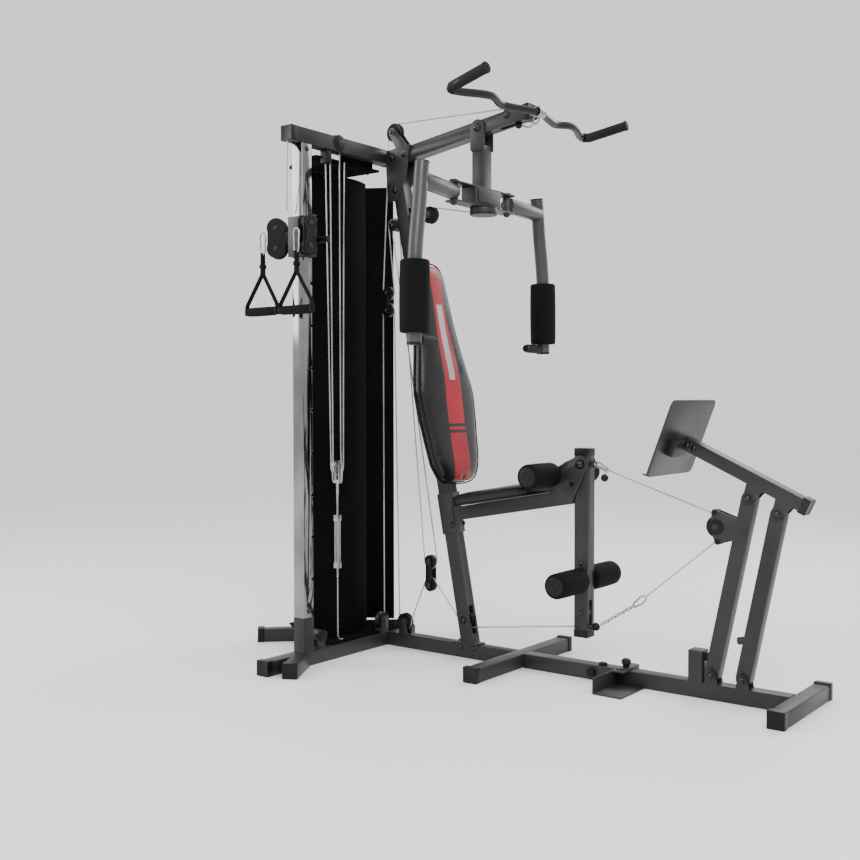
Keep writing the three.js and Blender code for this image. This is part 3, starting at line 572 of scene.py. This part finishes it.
rollerPair("shin_rollers", "shin_rollers", 257, 333, 30, 195, 42)
rollerPair("thigh_rollers", "thigh_rollers", 161, 690, 58, 212, 42)


# Pulldown bar
def ball(place, radius):
    turns = [0.3 * step for step in range(1, 10)]
    side = [(radius * math.sin(turn), radius * math.cos(turn)) for turn in turns]
    profile = [(0, radius), *side, (0, -radius)]
    return wheel(profile, place, "z", 32)


def pulldownBar():
    halfSpan = [
        (78, 0, 1943), (72, 22, 1943), (38, 150, 1940), (33, 172, 1941), (52, 255, 1948),
        (48, 290, 1947), (9, 405, 1941), (8, 430, 1941), (24, 442, 1944), (166, 463, 1972),
    ]
    mirrored = [(x, -y, z) for x, y, z in reversed(halfSpan[1:])]
    bar = hose([*mirrored, *halfSpan], 13.2, 24, "BEZIER")
    dress(bar, "lat_bar_finish", "lat_bar", barPaint, "frame", "lat_bar")
    gripPath = [(11, 422, 1942), (24, 442, 1944), (95, 453, 1958), (169, 464, 1972.6)]
    grips = [hose([(x, y * side, z) for x, y, z in gripPath], 17.5, 24) for side in (-1, 1)]
    ends = [
        sleeve((163, 463 * side, 1971.5), (173, 464.5 * side, 1973.5), 19, 1, 3, 0, 32)
        for side in (-1, 1)
    ]
    dress(joined([*grips, *ends]), "lat_bar_grips", "lat_bar", rubber, "rubber")
    middle = [sleeve((76, -20, 1943), (76, 20, 1943), 19, 13, 2, 0, 40)]
    ring = hose(arc((60, 0, 1920), 13, 0, 350, 24), 3.6, 12, cyclic=True)
    snapPath = [(48, 0, 1908), (38, 0, 1916), (14, 0, 1916), (4, 0, 1912), (14, 0, 1904), (40, 0, 1900)]
    snap = hose(snapPath, 3, 12, "BEZIER", True)
    dress(joined([*middle, ring, snap]), "lat_bar_fittings", "lat_bar", zinc, "steel")
    stop = joined([ball((-10, 0, 1911), 12), drum((-14, 0, 1918), (-14, 0, 1930), 5, 1, 20)])
    dress(stop, "lat_cable_stop", "lat_bar", nylon, "black")


pulldownBar()
print("arms, rollers and bar made")


# Pulleys
def pulley(node, place, radius, axis="y", width=11):
    # One side from the bore out to the groove's floor; the other side mirrors it.
    face = [
        (6.5, width), (9, width + 0.8), (12, width), (radius - 12, width - 3.5), (radius - 7, width - 1),
        (radius - 1, width), (radius, width - 1.2), (radius - 1, width - 3), (radius - 7, 2.2),
    ]
    profile = [*[(r, -w) for r, w in face], (radius - 8, 0), *reversed(face), (6.5, -width)]
    obj = wheel(profile, place, axis, 56)
    dress(obj, node + "_finish", bodyOf[node], nylon, "black", node)


for node, place, radius, axis in (
    ("tower_pulley", (sideX, -291, 1876), 33, "x"), ("lat_rear_pulley", (-569, 0, 1965), 35, "y"),
    ("lat_tip_pulley", (-44, 0, 1948), 32, "y"), ("press_pulley", (-400, 0, 1636), 32, "y"),
    ("rail_pulley", (-524, 0, 95), 32, "y"), ("side_pulley", (-613, -36, 95), 32, "x"),
    ("upright_pulley", (-233, 0, 138), 33, "y"), ("link_pulley", (735, 0, 547), 35, "y"),
):
    pulley(node, place, radius, axis)


# Cables
def cable(name, points, body, other=None):
    obj = hose(points, cableRadius, 12)
    obj.name = name
    obj.data.name = name
    obj.data.materials.append(wire)
    if other:
        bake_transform(obj)
    else:
        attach(obj, body)
    return obj


def cables():
    first = cable("upper_cable_bar", [
        (-14, 0, 1912), (-14, 0, 1948)],
        "root", other="lat_bar")
    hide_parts("upper_cable")
    cable("upper_cable_top", [
        *arc((-44, 0, 1948), 30, 0, 80), *arc((-569, 0, 1965), 33, 85, 175), (-604, 0, 1900)], "root")
    cable("upper_cable_down", [
        (-604, 0, 1900), (-632, 0, 1357), *arc((-604, 0, 1357), 28, 180, 270)],
        "root", other="mid_block")
    cable("upper_cable_up", [
        *arc((-604, 0, 1357), 28, 270, 360), (-596, -9.5, 1612)],
        "root", other="mid_block")
    cable("upper_cable_over", arc((-570, -9.5, 1612), 26, 180, 0, 12), "root")
    cable("upper_cable_block_down", [
        (-544, -9.5, 1612), (-430, 0, 338), *arc((-401, 0, 338), 28, 180, 270)],
        "root", other="low_block")
    cable("upper_cable_block_up", [
        *arc((-401, 0, 338), 28, 270, 360), (-372, 0, 345), (-594, 9.5, 1600)],
        "root", other="low_block")
    cable("upper_cable_cross", [
        (-594, 9.5, 1600), *arc((-570, 9.5, 1612), 26, 180, 95),
        *arc((-400, 0, 1636), 29, 95, 75, 3), (-212, 0, 1627)],
        "root", other="press_frame")
    lower = cable("low_cable_lever", [
        (303, 0, 176), (232, 0, 169), (-60, 0, 130.6)],
        "root", other="leg_lever")
    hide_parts("low_cable")
    cable("low_cable_under", [(-60, 0, 130.6), *arc((-233, 0, 138), 30, 277, 214)], "root")
    cable("low_cable_block", [
        arc((-233, 0, 138), 30, 277, 214)[-1], *arc((-401, 0, 248), 28, 25, 90)],
        "root", other="low_block")
    cable("low_cable_block_down", [
        *arc((-401, 0, 248), 28, 90, 155), arc((-524, 0, 95), 29, 10, -190, 14)[0]],
        "root", other="low_block")
    cable("low_cable_rail", arc((-524, 0, 95), 29, 10, -190, 20), "root")
    cable("low_cable_mid_up", [
        arc((-524, 0, 95), 29, 10, -190, 14)[-1], (-572, 0, 1100), *arc((-604, 0, 1290), 28, 0, 90)],
        "root", other="mid_block")
    cable("low_cable_mid_down", [
        *arc((-604, 0, 1290), 28, 90, 180), (-632, 0, 1250), (-630, 0, 60)],
        "root", other="mid_block")
    a, b = sideX - 5, sideX + 5
    acrossY = {"across": (0, 1, 0)}
    tower = cable("tower_cable_run", [
        (-652, -505, 1612), (-630, -525, 1760), *arc((sideX, -512, 1866), 20, 200, 100, 6, **acrossY)],
        "root", other="carriage")
    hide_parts("tower_cable")
    strands = cable("tower_strands", [
        (a, -333, 1834), (a, -309, 720), *arc((a, -281, 700), 28, 180, 360, 12, **acrossY),
        (a, -256, 760), (a, -258, 1800), *arc((sideX, -291, 1876), 31.2, -10, 190, 14, **acrossY),
        (b, -319, 1820), (b, -309, 720), *arc((b, -281, 700), 28, 180, 360, 12, **acrossY),
        (b, -247, 1560), (b, -242, 1818)], "root")
    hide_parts("strand_cable")
    tail = cable("tower_cable_tail", [
        (sideX, -281, 288), (sideX, -281, 75), (sideX, -272, 60), (sideX, -255, 58)], "root")
    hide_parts("stack_cable")
    link = cable("link_cable_upper", [
        (299, 0, 726), (399, 0, 692)],
        "root", other="leg_lever")
    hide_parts("link_cable")
    cable("link_cable_over", [
        (399, 0, 692), *arc((735, 0, 547), 33, 71, -45, 14), (487, 0, 297)],
        "root", other="front_link")


def chain():
    start, end, count = Vector((445, 0, 263)), Vector((322, 0, 185)), 9
    run = end - start
    turn = run.normalized().to_track_quat("X", "Y")
    made = []
    for i in range(count):
        flat = [(9 * math.cos(t * math.pi / 6), 5 * math.sin(t * math.pi / 6), 0) for t in range(12)]
        centre = start + run * (i + 0.5) / count
        roll = Matrix.Rotation(math.radians(45 + 90 * (i % 2)), 3, "X")
        made.append(hose([centre + turn @ (roll @ Vector(p)) for p in flat], 1.9, 12, cyclic=True))
    hook = [
        (487, 0, 297), (478, 0, 300), (455, 0, 281), (443, 0, 268),
        (446, 0, 260), (456, 0, 264), (486, 0, 286),
    ]
    made.append(hose(hook, 3.2, 12, "BEZIER", True))
    links = joined(made)
    links.name = "link_chain"
    links.data.name = "link_chain"
    links.data.materials.append(zinc)
    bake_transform(links)
    dress(ball((303, 0, 176), 14), "lever_cable_ball", "leg_lever", nylon, "black")


cables()
chain()
print("pulleys and cables made")


# Pads

# A math node; each value is a number or another node's output.
def calc(tree, operation, *values):
    node = tree.nodes.new("ShaderNodeMath")
    node.operation = operation
    for socket, value in zip(node.inputs, values):
        if isinstance(value, (int, float)):
            socket.default_value = value
        else:
            tree.links.new(value, socket)
    return node.outputs["Value"]


def between(tree, value, low, high):
    above = calc(tree, "GREATER_THAN", value, low)
    return calc(tree, "MULTIPLY", above, calc(tree, "LESS_THAN", value, high))


# The back pad's pattern, in metres: a red stripe with a waist and two breaks, and a pale strip in it.
stripe = {
    "half": 0.050, "waist": 0.019, "waistAt": 1.33, "waistSpread": 0.22,
    "front": 0.057, "breaks": ((0.825, 0.836), (0.848, 0.859)),
    "stripHalf": 0.017, "strip": (1.02, 1.30),
}


def over(tree, factor, below, above):
    node = tree.nodes.new("ShaderNodeMix")
    node.data_type = "RGBA"
    for socket, source in (("A", below), ("B", above), ("Factor", factor)):
        tree.links.new(source, node.inputs[socket])
    return node.outputs["Result"]


def stripedVinyl():
    material, tree, shader = nodesOf("striped_vinyl")
    position = tree.nodes.new("ShaderNodeTexCoord").outputs["Object"]
    axes = tree.nodes.new("ShaderNodeSeparateXYZ")
    tree.links.new(position, axes.inputs["Vector"])
    x, y, z = (axes.outputs[name] for name in "XYZ")
    away = calc(tree, "ABSOLUTE", y)
    ahead = calc(tree, "ADD", calc(tree, "ADD", x, calc(tree, "MULTIPLY", z, lean)), 0.2076)
    front = calc(tree, "GREATER_THAN", ahead, stripe["front"])
    fromWaist = calc(tree, "ABSOLUTE", calc(tree, "SUBTRACT", z, stripe["waistAt"]))
    waist = calc(tree, "POWER", calc(tree, "DIVIDE", fromWaist, stripe["waistSpread"]), 2)
    narrowing = calc(tree, "EXPONENT", calc(tree, "MULTIPLY", waist, -1))
    width = calc(tree, "SUBTRACT", stripe["half"], calc(tree, "MULTIPLY", stripe["waist"], narrowing))
    red = calc(tree, "MULTIPLY", calc(tree, "LESS_THAN", away, width), front)
    breaks = calc(tree, "ADD", *[between(tree, z, low, high) for low, high in stripe["breaks"]])
    red = calc(tree, "MULTIPLY", red, calc(tree, "SUBTRACT", 1, breaks))
    inStrip = calc(tree, "LESS_THAN", away, stripe["stripHalf"])
    strip = calc(tree, "MULTIPLY", inStrip, between(tree, z, *stripe["strip"]))
    strip = calc(tree, "MULTIPLY", strip, front)
    slow = ramp(tree, noise(tree, 7, 6), 0, 1)
    blackColour = mixed(tree, slow, looks["black_vinyl"]["dark"], looks["black_vinyl"]["light"])
    redColour = mixed(tree, slow, (0.27, 0.003, 0.012), (0.34, 0.006, 0.018))
    paleColour = mixed(tree, slow, (0.30, 0.28, 0.28), (0.40, 0.38, 0.38))
    striped = over(tree, red, blackColour, redColour)
    tree.links.new(over(tree, strip, striped, paleColour), shader.inputs["Base Color"])
    shader.inputs["Specular IOR Level"].default_value = 0.35
    tree.links.new(ramp(tree, slow, 0.26, 0.36), shader.inputs["Roughness"])
    bump(tree, shader, noise(tree, 520, 3), 0.35, 0.0006)
    return material


def widthAt(sides, v):
    for (v0, w0), (v1, w1) in zip(sides, sides[1:]):
        if v <= v1:
            return w0 + (w1 - w0) * (v - v0) / (v1 - v0)
    return sides[-1][1]


# A crowned closed pad on a flat back: sides holds places along it and half widths there, and
# depth(v, share) is its height at a place along it and a share of the half width.
def cushion(sides, base, depth, matrix, columns, rows):
    length = sides[-1][0]
    bpy.ops.object.select_all(action="DESELECT")
    bpy.ops.mesh.primitive_grid_add(x_subdivisions=columns, y_subdivisions=rows, size=2)
    obj = bpy.context.object
    for vertex in obj.data.vertices:
        u, t = vertex.co.x, (vertex.co.y + 1) / 2
        v = t * length
        vertex.co = Vector((u * widthAt(sides, v), v, depth(v, abs(u)))) * mm
    only(obj)
    bpy.ops.object.mode_set(mode="EDIT")
    bpy.ops.mesh.select_mode(type="EDGE")
    bpy.ops.mesh.select_all(action="DESELECT")
    bpy.ops.mesh.select_non_manifold()
    bpy.ops.mesh.extrude_region_move()
    bpy.ops.object.mode_set(mode="OBJECT")
    rim = [vertex for vertex in obj.data.vertices if vertex.select]
    for vertex in rim:
        vertex.co.z = base * mm
    bpy.ops.object.mode_set(mode="EDIT")
    bpy.ops.mesh.edge_face_add()
    bpy.ops.mesh.select_all(action="SELECT")
    bpy.ops.mesh.normals_make_consistent(inside=False)
    bpy.ops.object.mode_set(mode="OBJECT")
    modify(obj, "REMESH", mode="VOXEL", voxel_size=5 * mm)
    modify(obj, "SMOOTH", factor=0.5, iterations=6)
    obj.data.transform(matrix)
    return obj


# The cover filled out by its own pressure, with no point moved further than most.
def puffed(obj, most=4):
    rest = [vertex.co.copy() for vertex in obj.data.vertices]
    only(obj)
    cloth = obj.modifiers.new("Cloth", "CLOTH")
    cloth.settings.use_pressure = True
    cloth.settings.uniform_pressure_force = 4
    cloth.settings.effector_weights.gravity = 0
    cloth.settings.quality = 4
    cloth.collision_settings.use_collision = False
    for number in range(1, 21):
        bpy.context.scene.frame_set(number)
    bpy.ops.object.modifier_apply(modifier=cloth.name)
    bpy.context.scene.frame_set(1)
    for vertex, start in zip(obj.data.vertices, rest):
        moved = vertex.co - start
        if moved.length > most * mm:
            vertex.co = start + moved.normalized() * most * mm
    return obj


# The outline of a pad, moved out by more.
def bothEdges(sides, more):
    return [(w + more, v) for v, w in sides] + [(-w - more, v) for v, w in reversed(sides)]


def padMatrix(start, up, out):
    across = Vector(up).cross(Vector(out)).normalized()
    columns = (across, Vector(up).normalized(), Vector(out).normalized())
    matrix = Matrix([[column[i] for column in columns] for i in range(3)]).to_4x4()
    return Matrix.Translation(Vector(start) * mm) @ matrix


def edgePiping(sides, height, place, radius):
    rim = [place @ (Vector((u, v, height)) * mm) / mm for u, v in bothEdges(sides, 0.5)]
    return hose(rim, radius, 12, "BEZIER", True)


def backing(sides, thickness, height, place):
    return plate(bothEdges(sides, -5), thickness, place @ Matrix.Translation((0, 0, height * mm)))


# How high the crown stands at a place along a pad, from 0 at its ends to 1.
def crownAlong(v, length, footRun, headRun):
    ends = min(1, v / footRun, (length - v) / headRun)
    return math.sin(max(0, ends) * math.pi / 2) ** 0.7


backShape = {
    "sides": [
        (0, 62), (8, 84), (22, 104), (70, 131), (170, 148), (265, 160), (335, 164), (400, 151),
        (500, 125), (600, 106), (720, 91), (790, 80), (812, 66), (822, 48),
    ],
    "foot": 632, "stand": 29, "base": 9, "edge": 36, "crown": 20,
    "lumbar": 10, "lumbarAt": 390, "lumbarSpread": 110, "footRun": 70, "headRun": 60,
}


def backPad():
    shape = backShape
    sides, length = shape["sides"], shape["sides"][-1][0]
    up, out = Vector((-lean, 0, 1)).normalized(), Vector((1, 0, lean)).normalized()
    start = Vector((uprightX(shape["foot"]), 0, shape["foot"])) + out * shape["stand"]

    def depth(v, share):
        lumbar = shape["lumbar"] * math.exp(-(((v - shape["lumbarAt"]) / shape["lumbarSpread"]) ** 2))
        across = (1 - share**2.6) ** 0.8 if share < 1 else 0
        along = crownAlong(v, length, shape["footRun"], shape["headRun"])
        return shape["edge"] + (shape["crown"] + lumbar) * across * along

    place = padMatrix(start, up, out)
    pad = puffed(cushion(sides, shape["base"], depth, place, 44, 100))
    modify(pad, "SUBSURF", levels=1, render_levels=1)
    dress(smooth(pad, 60), "back_cushion", "root", stripedVinyl(), "leather", "back_pad")
    dress(backing(sides, 9, 4.8, place), "back_board", "root", nylon, "black")
    dress(edgePiping(sides, 34, place, 2.6), "back_piping", "root", rubber, "leather")


seatShape = {
    "sides": [
        (0, 92), (10, 112), (28, 124), (50, 129), (160, 130),
        (277, 129), (299, 122), (317, 108), (326, 90),
    ],
    "rise": (80, 441), "rear": -232, "height": 602.4, "base": 4, "edge": 31, "crown": 11, "run": 50,
}


def seatPad():
    shape = seatShape
    sides, length = shape["sides"], shape["sides"][-1][0]
    pitch = math.atan2(*shape["rise"])
    along = Vector((math.cos(pitch), 0, math.sin(pitch)))
    out = Vector((-math.sin(pitch), 0, math.cos(pitch)))
    rear = shape["rear"]
    start = Vector((rear * math.cos(pitch), 0, shape["height"] + rear * math.sin(pitch)))

    def depth(v, share):
        across = (1 - share**3) ** 0.8 if share < 1 else 0
        return shape["edge"] + shape["crown"] * across * crownAlong(v, length, shape["run"], shape["run"])

    place = padMatrix(start, along, out)
    pad = cushion(sides, shape["base"], depth, place, 36, 44)
    modify(puffed(pad, 3), "SUBSURF", levels=1, render_levels=1)
    dress(smooth(pad, 60), "seat_cushion", "root", vinyl, "leather", "seat_pad")
    dress(edgePiping(sides, 30, place, 2.4), "seat_piping", "root", rubber, "leather")
    dress(backing(sides, 5, 2.6, place), "seat_board", "root", nylon, "black")


backPad()
seatPad()
print("pads made")


# Straps, snaps and shrouds
def snapHook(x, y, high, low, wide=11):
    middle, turn = (high + low) / 2, 0.36 * wide
    path = [
        (x, y, high), (x + wide * 0.8, y, high - turn),
        (x + wide, y, middle), (x + wide * 0.6, y, low + turn),
        (x, y, low), (x - wide * 0.6, y, low + turn),
        (x - wide, y, middle), (x - wide * 0.8, y, high - turn),
    ]
    return hose(path, 3, 12, "BEZIER", True)


handles = {
    "rear": {
        "x": -761, "y": -516, "hookHigh": 1542, "topZ": 1470, "forkZ": 1385,
        "gripX": -766, "gripZ": 1262,
    },
    "front": {
        "x": -568, "y": -543, "hookHigh": 1538, "topZ": 1462, "forkZ": 1380,
        "gripX": -570, "gripZ": 1258,
    },
}


def strapHandle(name, body, x, y, topZ, forkZ, gripX, gripZ, hookHigh):
    reach = 72.5  # half the length of the grip
    strips = []
    for side in (-1, 1):
        foot = gripX + side * (reach + 2.5)
        neck = [(x + side * 1.2, topZ), (x + side * 1.5, forkZ + 40), (x + side * 3, forkZ + 8)]
        end = [(foot, gripZ + 24), (foot + side * 2.2, gripZ + 8), (foot + side * 1.5, gripZ - 13)]
        route = neck + end
        half = side * 1.1
        edge = [(u - half, v) for u, v in route] + [(u + half, v) for u, v in reversed(route)]
        stand = Matrix.Translation(point(0, y, 0)) @ Matrix.Rotation(math.pi / 2, 4, "X")
        strips.append(plate(edge, 20, stand, 0.4))
    keeper = block((x - 7, y - 11.5, forkZ + 30), (x + 7, y + 11.5, forkZ + 44), 1.5)
    dress(joined([*strips, keeper]), f"strap_{name}_webbing", body, webbing, "strap", "strap_" + name)
    pad = sleeve((gripX - reach + 3, y, gripZ), (gripX + reach - 3, y, gripZ), 15.6, 6, 5, 0.8, 40)
    dress(pad, f"grip_{name}_foam", body, foam, "rubber", "grip_" + name)
    ends = [
        drum((gripX + side * (reach - 2), y, gripZ), (gripX + side * (reach + 4), y, gripZ), 13.5, 1.5)
        for side in (-1, 1)
    ]
    dress(joined(ends), f"grip_{name}_ends", body, nylon, "black")
    dress(snapHook(x, y, hookHigh, topZ - 6), f"snap_{name}", body, zinc, "steel")


for name, places in handles.items():
    strapHandle(name, name + "_handle", **places)


def shroud(node, plan, low, high):
    obj = hose([(x, y, low) for x, y in plan], 0, 8, "BEZIER")
    only(obj)
    bpy.ops.object.mode_set(mode="EDIT")
    bpy.ops.mesh.select_all(action="SELECT")
    bpy.ops.mesh.extrude_region_move(TRANSFORM_OT_translate={"value": (0, 0, (high - low) * mm)})
    bpy.ops.object.mode_set(mode="OBJECT")
    modify(obj, "SOLIDIFY", thickness=3 * mm, offset=0)
    bevelled(obj, 0.8)
    dress(smooth(obj), node + "_finish", "root", sheetBlack, "sheet", node)


shrouds = {
    "front_shroud": {
        "plan": [(-711, -320), (-682, -245), (-668, -165), (-674, -95), (-694, -32)],
        "low": 57, "high": 1781,
    },
    "rear_shroud": {
        "plan": [(-715, 165), (-800, 115), (-878, 52), (-940, -25), (-985, -110)],
        "low": 57, "high": 1800,
    },
}
for node, shape in shrouds.items():
    shroud(node, **shape)


# Small fittings
def fittings():
    knob = [(0, 26), (9, 26), (14, 23), (16, 17), (15, 9), (12, 6), (11, 0), (5, 0), (5, -18), (0, -18)]
    knobNode = "foot_rest_knob"
    dress(wheel(knob, (417, 0, 58), "z", 40), knobNode + "_finish", knobNode, nylon, "black", knobNode)
    pinY = postY + 21
    pin = joined([
        drum((-594, pinY, 1508), (-560, pinY, 1508), 5, 0.5, 24),
        drum((-584, pinY, 1508), (-572, pinY, 1508), 10, 1, 6),
        drum((-562, pinY, 1508), (-512, pinY, 1508), 11, 4, 32, 4),
    ])
    dress(pin, "pull_pin_finish", "pull_pin", nylon, "black", "pull_pin")
    stack = joined([
        drum((-798, -150, 347), (-740, -150, 347), 4.6, 0.5, 24),
        drum((-743, -150, 347), (-730, -150, 347), 14, 3, 32, 3),
    ])
    dress(stack, "selector_pin_finish", "selector_pin", chrome, "chrome", "selector_pin")
    bumpers = joined([
        drum((690, 0, 130), (709.5, 0, 130), 13, 3, 32, 3),
        drum((300, -24, 27), (300, -38, 27), 16, 4, 32, 3),
        drum((330, 0, 49), (330, 0, 58), 15, 3, 32, 3),
    ])
    dress(bumpers, "rail_bumpers", "root", rubber, "rubber")
    hookPath = [
        (294, 0, 731), (303, 0, 735), (330, 0, 725), (345, 0, 714),
        (342, 0, 708), (326, 0, 712), (299, 0, 724),
    ]
    hook = joined([
        hose(hookPath, 3, 12, "BEZIER", True),
        hose([(345, 0, 711), (338, 0, 700), (334, 0, 692)], 2.2, 12, "BEZIER"),
    ])
    dress(hook, "lever_snap", "leg_lever", zinc, "steel")
    dress(ball((334, 0, 683), 13), "lever_snap_ball", "leg_lever", nylon, "black")
    guides = joined([drum((x, -17.5, z), (x, 17.5, z), 10.5, 2, 32) for x, z in ((730, 592), (740, 501))])
    dress(guides, "link_cable_guides", "front_link", nylon, "black")
    cheeks = joined([drum((735, side * 17.2, 547), (735, side * 20.5, 547), 25, 1.2, 48) for side in (-1, 1)])
    dress(cheeks, "link_pulley_cheeks", "front_link", nylon, "black")
    camProfile = [
        (0, 14), (48, 14), (50, 12), (50, 8), (44, 3),
        (44, -4), (50, -10), (50, -14), (48, -15.5), (0, -15.5),
    ]
    cam = wheel(camProfile, (-160, 0, 1626), "z", 64)
    dress(cam, "press_cam", "press_frame", nylon, "black")
    front = block((-140.2, -62, 1650), (-136.5, 62, 1694), 1.5)
    dress(front, "press_plate", "press_frame", paint, "frame")
    pinX, pinSide = armPin
    sleeves = joined([
        drum((pinX, side * pinSide, 1702), (pinX, side * pinSide, 1715), 17, 2, 32)
        for side in (-1, 1)
    ])
    dress(sleeves, "press_collars", "press_frame", nylon, "black")
    bracket = block((sideX - 14, -352, 1800), (sideX + 20, -326, 1847), 2)
    dress(bracket, "beam_bracket", "root", nylon, "black")
    collars = joined([
        drum((-645, -385, 95), (-640, -385, 95), 22, 1.5), drum((-600, -385, 95), (-595, -385, 95), 22, 1.5),
    ])
    dress(collars, "low_hub_covers", "root", nylon, "black")


# A figure-eight outline: two round ends joined by a narrower middle.
def waisted(half, radius, waist):
    top = arc((0, 0, half), radius, -38, 218, 20)
    ends = [(p[0], p[2]) for p in top]
    return [*ends, (-waist, 0), *[(-u, -v) for u, v in ends], (waist, 0)]


def blockPlates():
    outward = Vector((math.cos(rearAim), math.sin(rearAim), 0))
    across = Vector(rearSide)
    made = []
    for side in (-1, 1):
        stand = Matrix([[outward[i], (0, 0, 1)[i], across[i]] for i in range(3)]).to_4x4()
        place = Vector((*rearWheel, 1520.5)) + across * side * 19
        made.append(plate(waisted(36.5, 35, 24), 5, Matrix.Translation(place * mm) @ stand, 1.2))
    dress(joined(made), "block_rear_plates", "rear_block", nylon, "black")
    made = []
    for side in (-1, 1):
        stand = Matrix(((0, 0, 1), (1, 0, 0), (0, 1, 0))).to_4x4()
        place = Matrix.Translation(point(-558 + side * 17.5, -501, 1520))
        made.append(plate(waisted(38, 30, 22), 5, place @ stand, 1.2))
    dress(joined(made), "block_front_plates", "front_block", nylon, "black")
    discs = [wheel([(0, 5), (24, 5), (29, 3), (30, 0), (0, 0)], (0, 0, 0), "z", 48) for side in (-1, 1)]
    for disc, side in zip(discs, (-1, 1)):
        disc.data.transform(turned((side, 0, 0), sideX + side * 25, -291, 1878))
    dress(joined(discs), "tower_pulley_plates", "root", nylon, "black")


fittings()
blockPlates()
print("straps, shrouds and fittings made")


# Floor, light and camera

# Lights: place in metres, size and power.
lights = {
    "key": ((2.6, -3.2, 4.2), 2.6, 170),
    "side": ((-3.6, -2.4, 2.6), 2.2, 90),
    "back": ((0.5, 3.6, 3.4), 2.8, 80),
}
lightAim = Vector((-0.1, 0, 0.9))
view = {"lens": 46.6, "place": (2.1355, -3.327, 0.950), "turn": (88.39, 0.07, 37.36)}


def stageAndCamera():
    bpy.ops.object.select_all(action="DESELECT")
    bpy.ops.mesh.primitive_plane_add(size=40, location=(0, 0, -0.0005))
    floor = bpy.context.object
    floor.name = "floor"
    material, tree, shader = nodesOf("floor_pale")
    pale = mixed(tree, noise(tree, 3), (0.93, 0.93, 0.93), (0.96, 0.96, 0.96))
    tree.links.new(pale, shader.inputs["Base Color"])
    shader.inputs["Roughness"].default_value = 0.6
    floor.data.materials.append(material)
    world = bpy.data.worlds.new("studio")
    world.use_nodes = True
    world.node_tree.nodes["Background"].inputs["Color"].default_value = (1, 1, 1, 1)
    world.node_tree.nodes["Background"].inputs["Strength"].default_value = 1.15
    bpy.context.scene.world = world
    for name, (place, size, power) in lights.items():
        light = bpy.data.objects.new(name, bpy.data.lights.new(name, "AREA"))
        light.data.size = size
        light.data.energy = power
        light.location = place
        light.rotation_euler = (lightAim - Vector(place)).to_track_quat("-Z", "Y").to_euler()
        bpy.context.scene.collection.objects.link(light)
    camera = bpy.data.objects.new("camera", bpy.data.cameras.new("camera"))
    camera.data.lens = view["lens"]
    camera.data.sensor_width = 36
    camera.location = view["place"]
    camera.rotation_euler = [math.radians(turn) for turn in view["turn"]]
    bpy.context.scene.collection.objects.link(camera)
    bpy.context.scene.camera = camera


stageAndCamera()
